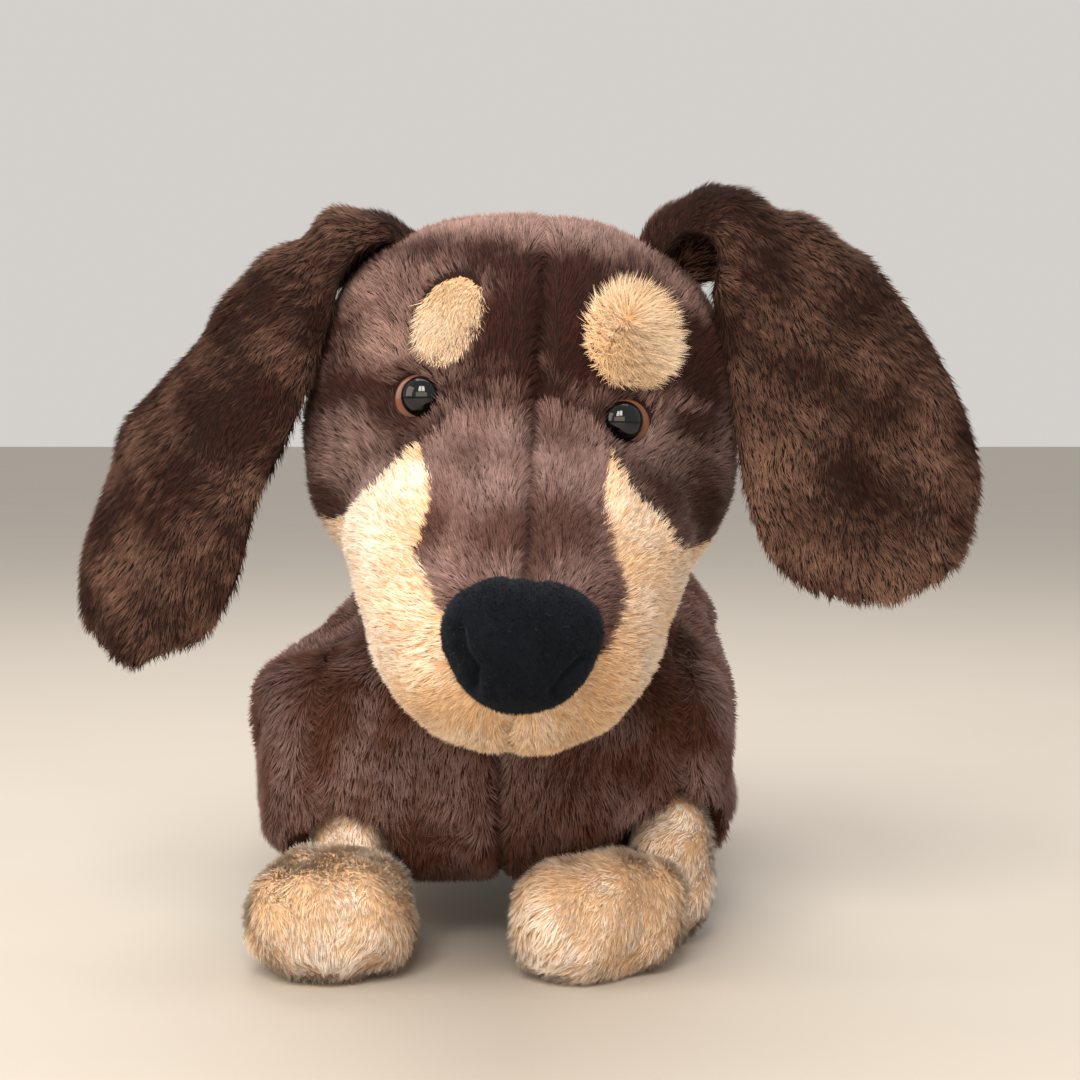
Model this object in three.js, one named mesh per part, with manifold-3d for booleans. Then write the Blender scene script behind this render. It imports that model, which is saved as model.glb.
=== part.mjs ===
// A standing plush dachshund, sewn from pile-fabric panels over soft fillings.
// Millimetres, +Z up. The dog faces -Y, and its own left side is +X.
import * as THREE from "three";
import { mergeVertices } from "three/addons/utils/BufferGeometryUtils.js";
import Module from "manifold-3d";

const wasm = await Module();
wasm.setup();

// ---- driving dimensions ----
const SKIN = 4; // fabric backing with its pile
const GAP = 0.35; // between neighbouring pieces
const RUNNING_GAP = 1.4; // between pieces that move past each other
const BLEND = 7; // how softly stuffed lobes run into each other
const DETAIL = 0.12; // the smallest thing a piece keeps
const HIDDEN_DETAIL = 0.4; // the same for fillings that have room round them

const HEAD_WIDTH = 143;
const HEAD_CENTRE = [0, 54, 187];
const HEAD_ROLL = THREE.MathUtils.degToRad(3.5); // the head leans towards its own left
const HEAD_SEAM_X = 4; // the centre seam of the face, sewn a little off the middle
const EYE_LINE_Z = 181;
const JAW_LINE_Z = 141;
const EYE_SPACING = 64.6;
const EYE_RADIUS = 7.5;

const NECK_CENTRE = [0, 88, 150];
const NECK_RADIUS = 38;
const NECK_SKIRT_Z = 109; // lower edge of the neck's fabric, down in the torso
const NECK_SHAFT = 14;
const NECK_FOOT_Z = 96;
const NOD_SPREAD = 0.27; // how much the opening in the head widens below the ball, for the nod
const EAR_LIFT = 35; // degrees

const TORSO_LENGTH = 270;
const TORSO_WIDTH = 167;
const TORSO_TOP = 126;
const TORSO_BOTTOM = 27;
const TORSO_CENTRE = [0, 175, (TORSO_TOP + TORSO_BOTTOM) / 2];
const CHEST_SEAM_X = -8;
const CHEST_SIDE_X = 50;
const CHEST_DEPTH_Y = 82; // where the chest panels end and the flanks begin
const BELLY_Z = 44;

const LEG_BALL = 14;
const LEG_BALL_Z = 40;
const SOLE = 3.5;

const TAIL_BALL = 12;
const TAIL_ROOT = [0, 303, 98];

const COLOURS = {
  brown: { color: "#4a332c", roughness: 0.9, metalness: 0 },
  tan: { color: "#e0b98c", roughness: 0.9, metalness: 0 },
  black: { color: "#15161a", roughness: 0.95, metalness: 0 },
  filling: { color: "#f2f0ec", roughness: 1, metalness: 0 },
  pellets: { color: "#d8d4cc", roughness: 0.8, metalness: 0 },
  iris: { color: "#8a5238", roughness: 0.25, metalness: 0 },
  pupil: { color: "#050506", roughness: 0.05, metalness: 0 },
  washer: { color: "#e8e8e4", roughness: 0.5, metalness: 0 },
};

// ---- solids ----
const subtract = (from, ...cutters) => cutters.reduce((s, c) => s.subtract(c), from);
const unite = (first, ...others) => others.reduce((s, o) => s.add(o), first);

function solidOf(geometry) {
  const bare = geometry.clone();
  bare.deleteAttribute("normal");
  bare.deleteAttribute("uv");
  const merged = mergeVertices(bare, 1e-4);
  return new wasm.Manifold(
    new wasm.Mesh({
      numProp: 3,
      vertProperties: new Float32Array(merged.attributes.position.array),
      triVerts: new Uint32Array(merged.index.array),
    }),
  );
}

function geometryOf(solid) {
  const { numProp, vertProperties, triVerts } = solid.getMesh();
  const positions = new Float32Array((vertProperties.length / numProp) * 3);
  for (let i = 0; i < positions.length / 3; i++)
    positions.set(vertProperties.subarray(i * numProp, i * numProp + 3), i * 3);
  const geometry = new THREE.BufferGeometry();
  geometry.setAttribute("position", new THREE.BufferAttribute(positions, 3));
  geometry.setIndex(new THREE.BufferAttribute(new Uint32Array(triVerts), 1));
  geometry.computeVertexNormals();
  return geometry;
}

// The largest body of a solid, which drops the slivers a cut can leave.
function largest(solid) {
  return solid.decompose().reduce((a, b) => (b.volume() > a.volume() ? b : a));
}

function block([x0, y0, z0], [x1, y1, z1]) {
  const box = new THREE.BoxGeometry(x1 - x0, y1 - y0, z1 - z0);
  box.translate((x0 + x1) / 2, (y0 + y1) / 2, (z0 + z1) / 2);
  return solidOf(box);
}

// A solid whose cross-section in the front view (x, z) is an outline, from y0 to y1.
function frontPrism(outline, y0, y1) {
  const shape = new THREE.Shape(outline.map(([x, z]) => new THREE.Vector2(x, z)));
  const prism = new THREE.ExtrudeGeometry(shape, { depth: y1 - y0, bevelEnabled: false });
  prism.rotateX(Math.PI / 2);
  prism.translate(0, y1, 0);
  return solidOf(prism);
}

// An outline moved outwards by a distance, each corner along the middle of its two edges' normals.
function grown(outline, distance) {
  const points = outline.map(([x, z]) => new THREE.Vector2(x, z));
  const turn = Math.sign(THREE.ShapeUtils.area(points));
  const count = points.length;
  const normal = (from, to) => new THREE.Vector2(to.y - from.y, from.x - to.x).normalize();
  return points.map((point, i) => {
    const before = normal(points[(i + count - 1) % count], point);
    const after = normal(point, points[(i + 1) % count]);
    const middle = before.clone().add(after).normalize();
    const reach = distance / Math.max(middle.dot(after), 0.25);
    return point.clone().addScaledVector(middle, turn * reach).toArray();
  });
}

function ellipse([cx, cz], [rx, rz], tiltDegrees, count = 16) {
  const tilt = THREE.MathUtils.degToRad(tiltDegrees);
  return Array.from({ length: count }, (_, i) => {
    const a = (i / count) * 2 * Math.PI;
    const x = rx * Math.cos(a);
    const z = rz * Math.sin(a);
    return [
      cx + x * Math.cos(tilt) - z * Math.sin(tilt),
      cz + x * Math.sin(tilt) + z * Math.cos(tilt),
    ];
  });
}

// ---- stuffed lobes ----
// A lobe is a rounded box or ellipsoid: centre, radii, squareness (2 is an ellipsoid)
// and a turn about Z. Its distance is negative inside.
function lobeDistance([x, y, z], { centre, radii, square = 2, turn = 0 }) {
  const dx = x - centre[0];
  const dy = y - centre[1];
  const q = [
    dx * Math.cos(turn) + dy * Math.sin(turn),
    dy * Math.cos(turn) - dx * Math.sin(turn),
    z - centre[2],
  ];
  const share = q.map((v, i) => Math.abs(v) / radii[i]);
  const k = Math.hypot(1e-9, share.reduce((s, v) => s + v ** square, 0) ** (1 / square));
  const slope = Math.hypot(...share.map((v, i) => (v ** (square - 1) * k ** (1 - square)) / radii[i]));
  return (k - 1) / Math.max(slope, 1e-9);
}

// Lobes run into each other with a soft minimum of their distances.
function softDistance(point, lobes, blend) {
  const sum = lobes.reduce((s, lobe) => s + Math.exp(-lobeDistance(point, lobe) / blend), 0);
  return -blend * Math.log(sum);
}

// A closed solid whose surface lies `offset` outside the lobes, found along rays from a centre.
function stuffed({ lobes, from, blend = BLEND, around = 26, along = 18 }, offset = 0) {
  const geometry = new THREE.SphereGeometry(1, around, along);
  const position = geometry.attributes.position;
  const direction = new THREE.Vector3();
  for (let i = 0; i < position.count; i++) {
    direction.fromBufferAttribute(position, i).normalize();
    let near = 0;
    let far = 260;
    for (let step = 0; step < 32; step++) {
      const middle = (near + far) / 2;
      const point = direction.toArray().map((v, axis) => from[axis] + v * middle);
      if (softDistance(point, lobes, blend) < offset) near = middle;
      else far = middle;
    }
    position.setXYZ(i, ...direction.toArray().map((v, axis) => from[axis] + v * far));
  }
  return solidOf(geometry);
}

function ball([x, y, z], radius, around = 20) {
  const sphere = new THREE.SphereGeometry(radius, around, Math.round(around * 0.6));
  sphere.translate(x, y, z);
  return solidOf(sphere);
}

// A turned solid about a vertical axis through [x, y], from a profile of [radius, z].
function turned(profile, [x, y], around = 20) {
  const lathe = new THREE.LatheGeometry(
    profile.map(([r, z]) => new THREE.Vector2(r, z)),
    around,
  );
  lathe.rotateX(Math.PI / 2);
  lathe.translate(x, y, 0);
  return solidOf(lathe);
}

// ---- the parts' group ----
const dog = new THREE.Group();

function add(parent, name, solid, finish, detail = DETAIL) {
  const mesh = new THREE.Mesh(
    geometryOf(largest(largest(solid).simplify(detail))),
    new THREE.MeshStandardMaterial(COLOURS[finish]),
  );
  mesh.name = name;
  parent.add(mesh);
}

// Cuts panels off a skin one after another, each a gap away from the rest.
function panelCutter(skin) {
  let rest = skin;
  const cut = (region, wider) => {
    const panel = rest.intersect(region);
    rest = rest.subtract(wider);
    return panel;
  };
  return {
    outline: (points, y0, y1) =>
      cut(frontPrism(points, y0, y1), frontPrism(grown(points, GAP), y0, y1 + GAP)),
    box: (low, high) =>
      cut(block(low, high), block(low.map((v) => v - GAP), high.map((v) => v + GAP))),
    rest: () => rest,
  };
}

// ---- head ----
const headForm = {
  from: [0, 30, 160],
  around: 24,
  along: 16,
  lobes: [
    { centre: HEAD_CENTRE, radii: [HEAD_WIDTH / 2 - 3, 60, 57], square: 2.2 },
    { centre: [0, 42, 160], radii: [HEAD_WIDTH / 2 - 4, 45, 45], square: 2.2 },
    { centre: [1, 2, 138], radii: [54, 46, 36] },
    { centre: [2, -26, 117], radii: [43, 46.5, 39], square: 2.1 },
  ],
};

// Ray-traced depth of the head's front surface at a place in the front view.
function faceDepth(x, z) {
  let y = -140;
  while (softDistance([x, y, z], headForm.lobes, BLEND) > 0) y += 0.25;
  return y;
}

// An eye, turned about its own axis and set at its place: a disc on a stem, a pupil, a washer.
function eyePieces(side, lift) {
  const x = (side * EYE_SPACING) / 2;
  const z = EYE_LINE_Z - 1.5 + lift;
  const depth = faceDepth(x, z);
  const place = new THREE.Matrix4()
    .makeTranslation(x, depth + SKIN - 1.2, z)
    .multiply(new THREE.Matrix4().makeRotationZ(side * THREE.MathUtils.degToRad(16)))
    .multiply(new THREE.Matrix4().makeRotationX(Math.PI / 2));
  // In the profile, +Z is out of the face once placed.
  const turnedHere = (profile) => {
    const lathe = new THREE.LatheGeometry(
      profile.map(([r, h]) => new THREE.Vector2(r, h)),
      20,
    );
    lathe.rotateX(Math.PI / 2);
    return solidOf(lathe.applyMatrix4(place));
  };
  const stem = 2.4;
  const dome = Array.from({ length: 6 }, (_, i) => {
    const a = (i / 5) * (Math.PI / 2);
    return [5.4 * Math.cos(a), 1.9 + 4.6 * Math.sin(a)];
  });
  dome[5][0] = 0;
  return {
    iris: turnedHere([
      [0, -11], [stem, -11], [stem, 0], [EYE_RADIUS - 0.6, 0], [EYE_RADIUS, 0.6],
      [EYE_RADIUS - 0.8, 1.2], [5.6, 1.6], [0, 1.6],
    ]),
    pupil: turnedHere([[0, 1.9], ...dome]),
    washer: turnedHere([[stem + GAP, -4.4], [8, -4.4], [8, -2.9], [stem + GAP, -2.9], [stem + GAP, -4.4]]),
    socket: turnedHere([[0, -GAP], [EYE_RADIUS + GAP, -GAP], [EYE_RADIUS + 1.5, 9], [0, 9]]),
    hole: turnedHere([[0, -11.5], [stem + GAP, -11.5], [stem + GAP, 2], [0, 2]]),
    washerPocket: turnedHere([[0, -5.2], [8.8, -5.2], [8.8, -2.4], [0, -2.4]]),
  };
}

// Turns a solid about the head's centre, the way the head leans.
function lean(solid, angle) {
  return solid
    .translate(HEAD_CENTRE.map((v) => -v))
    .rotate([0, THREE.MathUtils.radToDeg(angle), 0])
    .translate(HEAD_CENTRE);
}

// The clearance that the neck's ball needs inside the head, for its nod.
const cavityRadius = NECK_RADIUS + RUNNING_GAP;
const uprightCavity = unite(
  ball(NECK_CENTRE, cavityRadius + 0.4, 28),
  turned(
    [[0, 60], [cavityRadius + 90 * NOD_SPREAD, 60], [cavityRadius, NECK_CENTRE[2]], [0, NECK_CENTRE[2]]],
    NECK_CENTRE,
    28,
  ),
);
const neckCavity = lean(uprightCavity, -HEAD_ROLL);

function buildHead() {
  const head = new THREE.Group();
  const eyes = { left: eyePieces(1, -1.8), right: eyePieces(-1, 1.8) };
  const outer = stuffed(headForm);
  const hollow = stuffed(headForm, -SKIN);
  const filling = stuffed(headForm, -SKIN - 2 * GAP);
  const eyeCuts = Object.values(eyes).flatMap((eye) => [eye.socket, eye.hole, eye.washerPocket]);
  const panels = panelCutter(subtract(outer, hollow, neckCavity, ...eyeCuts));

  const browLeft = ellipse([31.5, 204], [13, 15.5], 12);
  const browRight = ellipse([-24, 207], [9, 14.5], -24);
  add(head, "brow_patch_left", panels.outline(browLeft, -60, 40), "tan");
  add(head, "brow_patch_right", panels.outline(browRight, -60, 40), "tan");

  const bridgeLeft = [
    [HEAD_SEAM_X, EYE_LINE_Z], [20, 178], [25, 172], [27, 166], [24, 153], [27, 141],
    [31, 130], [24, 113], [HEAD_SEAM_X, 113],
  ];
  const bridgeRight = [
    [HEAD_SEAM_X - GAP, EYE_LINE_Z], [HEAD_SEAM_X - GAP, 113], [-12, 113], [-18, 126],
    [-26, 139], [-22, 153], [-29, 166], [-25, 172], [-18, 178],
  ];
  add(head, "snout_bridge_left", panels.outline(bridgeLeft, -120, 20), "brown");
  add(head, "snout_bridge_right", panels.outline(bridgeRight, -120, 20), "brown");

  const muzzleLeft = [
    [1, 60], [1, 126], [24, 140], [27, 167], [35, 157], [43, 150], [49, JAW_LINE_Z],
    [90, JAW_LINE_Z], [90, 60],
  ];
  const muzzleRight = [
    [1 - GAP, 60], [-90, 60], [-90, JAW_LINE_Z], [-54, JAW_LINE_Z], [-40, 157],
    [-29, 167], [-24, 140], [1 - GAP, 126],
  ];
  add(head, "muzzle_left", panels.outline(muzzleLeft, -120, 78), "tan");
  add(head, "muzzle_right", panels.outline(muzzleRight, -120, 78), "tan");

  add(head, "cheek_left", panels.box([HEAD_SEAM_X, -80, 60], [90, 84, EYE_LINE_Z]), "brown");
  add(head, "cheek_right", panels.box([-90, -80, 60], [HEAD_SEAM_X - GAP, 84, EYE_LINE_Z]), "brown");
  add(head, "nape", panels.box([-90, 84, 60], [90, 130, EYE_LINE_Z]), "brown");
  add(head, "crown_left", panels.box([HEAD_SEAM_X, -80, EYE_LINE_Z], [90, 140, 260]), "brown");
  add(head, "crown_right", panels.rest(), "brown");

  const pockets = Object.values(eyes).flatMap((eye) => [eye.washerPocket, eye.hole]);
  add(head, "head_filling", subtract(filling, neckCavity, ...pockets), "filling", HIDDEN_DETAIL);

  for (const [side, eye] of Object.entries(eyes)) {
    add(head, `eye_iris_${side}`, eye.iris, "iris");
    add(head, `eye_pupil_${side}`, eye.pupil, "pupil");
    add(head, `eye_washer_${side}`, eye.washer, "washer");
  }

  const noseForm = {
    from: [3, -72, 118],
    blend: 5,
    around: 16,
    along: 10,
    lobes: [
      { centre: [-3.5, -73, 121], radii: [14, 12, 12] },
      { centre: [12, -73, 121], radii: [14, 12, 12] },
      { centre: [4, -72, 109.5], radii: [15.5, 11.5, 11.5] },
    ],
  };
  const onMuzzle = stuffed(headForm, GAP);
  const noseOuter = subtract(stuffed(noseForm), onMuzzle);
  const noseInner = stuffed(noseForm, -1.6);
  add(head, "nose_cover", subtract(noseOuter, stuffed(noseForm, -1.3)), "black");
  add(head, "nose_filling", subtract(noseInner, onMuzzle), "filling");

  head.position.set(...HEAD_CENTRE);
  head.rotation.y = HEAD_ROLL;
  head.children.forEach((piece) => piece.position.set(...HEAD_CENTRE.map((v) => -v)));
  return head;
}

// ---- ears ----
// An ear is a sheet along a spine. At each station the sheet is an arc across the spine, and runs
// straight down beyond a quarter turn. `half` over half the angle `curl` is the arc's radius,
// `reach` how far the sheet goes to either side of the spine, and `face` where its back points.
const EAR_LAYER = 4.2;
const EAR_HINGE = { left: [50, 48, 231], right: [-47, 48, 231] };
const EAR_STRAIGHT = THREE.MathUtils.degToRad(82);
const ears = {
  left: [
    { at: [36, 50, 231], reach: [24, 13], half: 14, curl: 190, face: [-0.5, 0, 1] },
    { at: [50, 46, 244], reach: [22, 15], half: 17, curl: 180, face: [-0.2, 0, 1] },
    { at: [68, 40, 246], reach: [30, 18], half: 21, curl: 155, face: [0.3, -0.3, 0.9] },
    { at: [84, 35, 235], reach: [25, 24], half: 29, curl: 110, face: [0.45, -0.75, 0.55] },
    { at: [97, 31, 210], reach: [30, 29], half: 36, curl: 74, face: [0.3, -0.93, 0.2] },
    { at: [106, 28, 180], reach: [37, 38], half: 39, curl: 50, face: [0.2, -0.97, 0.12] },
    { at: [111, 26, 152], reach: [38, 39], half: 38, curl: 42, face: [0.14, -0.98, 0.1] },
    { at: [116, 25, 134], reach: [29, 31], half: 29, curl: 34, face: [0.12, -0.98, 0.1] },
    { at: [119, 25, 121], reach: [13, 14], half: 13, curl: 20, face: [0.12, -0.98, 0.1] },
  ],
  right: [
    { at: [-32, 54, 231], reach: [13, 24], half: 14, curl: 190, face: [0.5, 0, 1] },
    { at: [-47, 46, 242], reach: [15, 22], half: 17, curl: 180, face: [0.1, 0, 1] },
    { at: [-69, 40, 235], reach: [20, 30], half: 21, curl: 150, face: [-0.5, -0.3, 0.8] },
    { at: [-87, 36, 214], reach: [28, 26], half: 27, curl: 110, face: [-0.66, -0.6, 0.4] },
    { at: [-102, 32, 188], reach: [33, 32], half: 33, curl: 85, face: [-0.66, -0.7, 0.25] },
    { at: [-115, 29, 161], reach: [37, 37], half: 37, curl: 72, face: [-0.64, -0.74, 0.15] },
    { at: [-122, 27, 134], reach: [37, 37], half: 36, curl: 62, face: [-0.62, -0.76, 0.1] },
    { at: [-125, 26, 115], reach: [30, 30], half: 28, curl: 50, face: [-0.6, -0.78, 0.08] },
    { at: [-126, 26, 102], reach: [14, 14], half: 13, curl: 30, face: [-0.6, -0.78, 0.08] },
  ],
};

// Smooth value of one key along the stations, at s from 0 to 1.
function along(stations, key, s) {
  const values = stations.map((station) => [station[key]].flat());
  const place = s * (values.length - 1);
  const i = Math.min(Math.floor(place), values.length - 2);
  const f = place - i;
  const pick = (n) => values[Math.max(0, Math.min(values.length - 1, n))];
  return pick(i).map((_, axis) => {
    const [a, b, c, d] = [pick(i - 1), pick(i), pick(i + 1), pick(i + 2)].map((v) => v[axis]);
    return (
      b + 0.5 * f * (c - a + f * (2 * a - 5 * b + 4 * c - d + f * (3 * (b - c) + d - a)))
    );
  });
}

// A point of the ear's middle sheet, moved out along its back by `off`; t runs across, -1 to 1.
function earPoint(stations, s, t, off) {
  const at = new THREE.Vector3(...along(stations, "at", s));
  const ahead = new THREE.Vector3(...along(stations, "at", Math.min(s + 0.02, 1)));
  const behind = new THREE.Vector3(...along(stations, "at", Math.max(s - 0.02, 0)));
  const spine = ahead.sub(behind).normalize();
  const face = new THREE.Vector3(...along(stations, "face", s)).projectOnPlane(spine).normalize();
  const across = new THREE.Vector3().crossVectors(spine, face);
  const half = along(stations, "half", s)[0];
  const curl = THREE.MathUtils.degToRad(along(stations, "curl", s)[0]) / 2;
  const radius = half / curl;
  const reach = along(stations, "reach", s)[t < 0 ? 0 : 1];
  const bent = Math.min((Math.abs(t) * reach) / radius, EAR_STRAIGHT);
  const straight = Math.abs(t) * reach - bent * radius;
  const sideways = (radius + off) * Math.sin(bent) + straight * Math.cos(bent);
  return at
    .addScaledVector(across, Math.sign(t) * sideways)
    .addScaledVector(face, (radius + off) * Math.cos(bent) - radius - straight * Math.sin(bent));
}

// A closed layer of the ear between two distances from its middle sheet.
function earLayer(stations, low, high, steps = 16, columns = 7) {
  const points = [];
  const triangles = [];
  const index = (i, j, side) => (i * (columns + 1) + j) * 2 + side;
  for (let i = 0; i <= steps; i++)
    for (let j = 0; j <= columns; j++)
      for (const off of [low, high])
        points.push(...earPoint(stations, i / steps, (2 * j) / columns - 1, off).toArray());
  const quad = (a, b, c, d) => triangles.push(a, b, c, a, c, d);
  for (let i = 0; i < steps; i++)
    for (let j = 0; j < columns; j++) {
      quad(index(i, j, 1), index(i + 1, j, 1), index(i + 1, j + 1, 1), index(i, j + 1, 1));
      quad(index(i, j, 0), index(i, j + 1, 0), index(i + 1, j + 1, 0), index(i + 1, j, 0));
    }
  for (let j = 0; j < columns; j++) {
    quad(index(0, j, 0), index(0, j, 1), index(0, j + 1, 1), index(0, j + 1, 0));
    quad(index(steps, j, 0), index(steps, j + 1, 0), index(steps, j + 1, 1), index(steps, j, 1));
  }
  for (let i = 0; i < steps; i++) {
    quad(index(i, 0, 0), index(i + 1, 0, 0), index(i + 1, 0, 1), index(i, 0, 1));
    quad(index(i, columns, 0), index(i, columns, 1), index(i + 1, columns, 1), index(i + 1, columns, 0));
  }
  const geometry = new THREE.BufferGeometry();
  geometry.setAttribute("position", new THREE.BufferAttribute(new Float32Array(points), 3));
  geometry.setIndex(triangles);
  const solid = solidOf(geometry);
  if (solid.volume() > 0) return solid;
  geometry.setIndex(triangles.map((_, i) => triangles[i - (i % 3) + [0, 2, 1][i % 3]]));
  return solidOf(geometry);
}

// Ears are trimmed at the root so that they clear the head all the way through their lift.
function buildEars(head) {
  const group = new THREE.Group();
  for (const [side, stations] of Object.entries(ears)) {
    const hinge = EAR_HINGE[side];
    const back = side === "left" ? 1 : -1;
    const swept = [-3, 0, EAR_LIFT / 3, (2 * EAR_LIFT) / 3, EAR_LIFT].map((degrees) =>
      head
        .translate(hinge.map((v) => -v))
        .rotate([0, back * degrees, 0])
        .translate(hinge),
    );
    const clear = (solid) => largest(subtract(solid, ...swept));
    add(group, `ear_back_${side}`, clear(earLayer(stations, GAP, EAR_LAYER)), "brown");
    add(group, `ear_lining_${side}`, clear(earLayer(stations, -EAR_LAYER, -GAP)), "brown");
  }
  return group;
}

// ---- legs ----
// Each leg hangs from a ball in the torso. `toes` turns the foot about Z, in degrees.
const legs = [
  { name: "foreleg_left", at: [49, 62], toes: -46, out: -25, forward: 36, foot: [22, 33, 21] },
  { name: "foreleg_right", at: [-58, 64], toes: 4, out: -4, forward: 36, foot: [27.5, 31, 21] },
  { name: "hindleg_left", at: [52, 262], toes: 8, out: 3, forward: 28, foot: [24, 30, 21] },
  { name: "hindleg_right", at: [-52, 262], toes: -8, out: -3, forward: 28, foot: [24, 30, 21] },
];

function legForm({ at: [x, y], toes, out, forward, foot }) {
  const turn = THREE.MathUtils.degToRad(toes);
  return {
    from: [x + out / 2, y - forward / 2, 20],
    blend: 4,
    around: 16,
    along: 11,
    lobes: [
      { centre: [x, y, LEG_BALL_Z], radii: [LEG_BALL, LEG_BALL, LEG_BALL] },
      { centre: [x, y, 22], radii: [14, 15, 22] },
      { centre: [x + out, y - forward, 18], radii: foot, square: 2.5, turn },
    ],
  };
}

function buildLeg(leg) {
  const group = new THREE.Group();
  const form = legForm(leg);
  const [x, y] = leg.at;
  const soleTop = block([-200, -200, -60], [200, 500, SOLE + GAP]);
  const skin = subtract(stuffed(form), stuffed(form, -SKIN), soleTop);
  add(group, `${leg.name}_skin`, skin, "tan");
  const sole = stuffed(form).intersect(block([-200, -200, 0], [200, 500, SOLE]));
  add(group, `${leg.name}_sole`, sole, "tan");
  add(group, `${leg.name}_filling`, subtract(stuffed(form, -SKIN - GAP), soleTop), "filling");
  return { group, form, pivot: [x, y, LEG_BALL_Z] };
}

// The room a leg needs in the torso as it swings fore and aft.
function legWell({ form, pivot }) {
  const shape = stuffed({ ...form, around: 12, along: 8 }, RUNNING_GAP + 2.6);
  const [px, py, pz] = pivot;
  const swung = [-12, 0, 12].map((degrees) =>
    shape.translate([-px, -py, -pz]).rotate([degrees, 0, 0]).translate([px, py, pz]),
  );
  return unite(...swung);
}

// ---- torso ----
const torsoForm = {
  from: TORSO_CENTRE,
  blend: 8,
  around: 26,
  along: 16,
  lobes: [
    { centre: [-11.2, 101, 60], radii: [TORSO_WIDTH / 2 - 1.3, 58, 38], square: 5 },
    { centre: [-4, 104, 90], radii: [60, 55, 36], square: 2.3 },
    { centre: TORSO_CENTRE, radii: [70, TORSO_LENGTH / 2 - 25, 46], square: 2.6 },
    { centre: [0, 246, TORSO_CENTRE[2] + 2], radii: [76, 62, 49], square: 2.6 },
  ],
};

function buildTorso(legBuilds) {
  const torso = new THREE.Group();
  const wells = legBuilds.map(legWell);
  const shaftHole = NECK_SHAFT + RUNNING_GAP;
  const neckHole = NECK_RADIUS + RUNNING_GAP;
  const dish = NECK_SKIRT_Z - RUNNING_GAP;
  const neckSocket = turned(
    [[0, NECK_FOOT_Z - RUNNING_GAP], [shaftHole, NECK_FOOT_Z - RUNNING_GAP], [shaftHole, dish],
      [neckHole, dish], [neckHole, 190], [0, 190]],
    NECK_CENTRE,
    28,
  );
  const cuts = [...wells, neckSocket, tailWell(), headSweep];
  const panels = panelCutter(
    subtract(stuffed(torsoForm), stuffed(torsoForm, -SKIN), ...cuts),
  );
  const front = -20;
  add(torso, "chest_left", panels.box([CHEST_SEAM_X, front, 0], [CHEST_SIDE_X, CHEST_DEPTH_Y, 118]), "brown");
  add(torso, "chest_right", panels.box([-66, front, 0], [CHEST_SEAM_X - GAP, CHEST_DEPTH_Y, 118]), "brown");
  add(torso, "belly", panels.box([-48, CHEST_DEPTH_Y, 0], [48, 262, BELLY_Z]), "brown");
  add(torso, "flank_left", panels.box([0, front, 0], [120, 400, 200]), "brown");
  add(torso, "flank_right", panels.rest(), "brown");

  const bagLow = [-44, 110, 0];
  const bagHigh = [44, 236, 54];
  const bagSpace = block(bagLow.map((v) => v - 1), bagHigh.map((v) => v + 1));
  const inside = stuffed(torsoForm, -SKIN - 2 * GAP);
  add(torso, "pellet_bag", subtract(inside.intersect(block(bagLow, bagHigh)), ...wells), "pellets");
  add(torso, "torso_filling", subtract(inside, bagSpace, ...cuts), "filling", HIDDEN_DETAIL);
  return torso;
}

// The neck: a ball of filling on a shaft, in a fabric sleeve that the head rolls over.
function neckProfile(inset, lowEdge) {
  const radius = NECK_RADIUS - inset;
  const arc = Array.from({ length: 7 }, (_, i) => {
    const a = (i / 6) * (Math.PI / 2);
    return [radius * Math.cos(a), NECK_CENTRE[2] + radius * Math.sin(a)];
  });
  arc[6][0] = 0;
  return [[0, lowEdge], [radius, lowEdge], ...arc];
}

function buildNeck() {
  const neck = new THREE.Group();
  const outside = turned(neckProfile(0, NECK_SKIRT_Z), NECK_CENTRE, 24);
  const inside = turned(neckProfile(SKIN, NECK_SKIRT_Z - 20), NECK_CENTRE, 24);
  const shaft = turned(
    [[0, NECK_FOOT_Z], [NECK_SHAFT, NECK_FOOT_Z], [NECK_SHAFT, 130], [0, 130]],
    NECK_CENTRE,
  );
  const filling = turned(neckProfile(SKIN + GAP, NECK_SKIRT_Z), NECK_CENTRE, 24);
  add(neck, "neck_skin", subtract(outside, inside), "brown");
  add(neck, "neck_filling", unite(shaft, filling), "filling");
  return neck;
}

// ---- tail ----
const tailPath = new THREE.CatmullRomCurve3([
  new THREE.Vector3(...TAIL_ROOT),
  new THREE.Vector3(0, 326, 106),
  new THREE.Vector3(0, 349, 124),
  new THREE.Vector3(0, 366, 152),
]);

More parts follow.
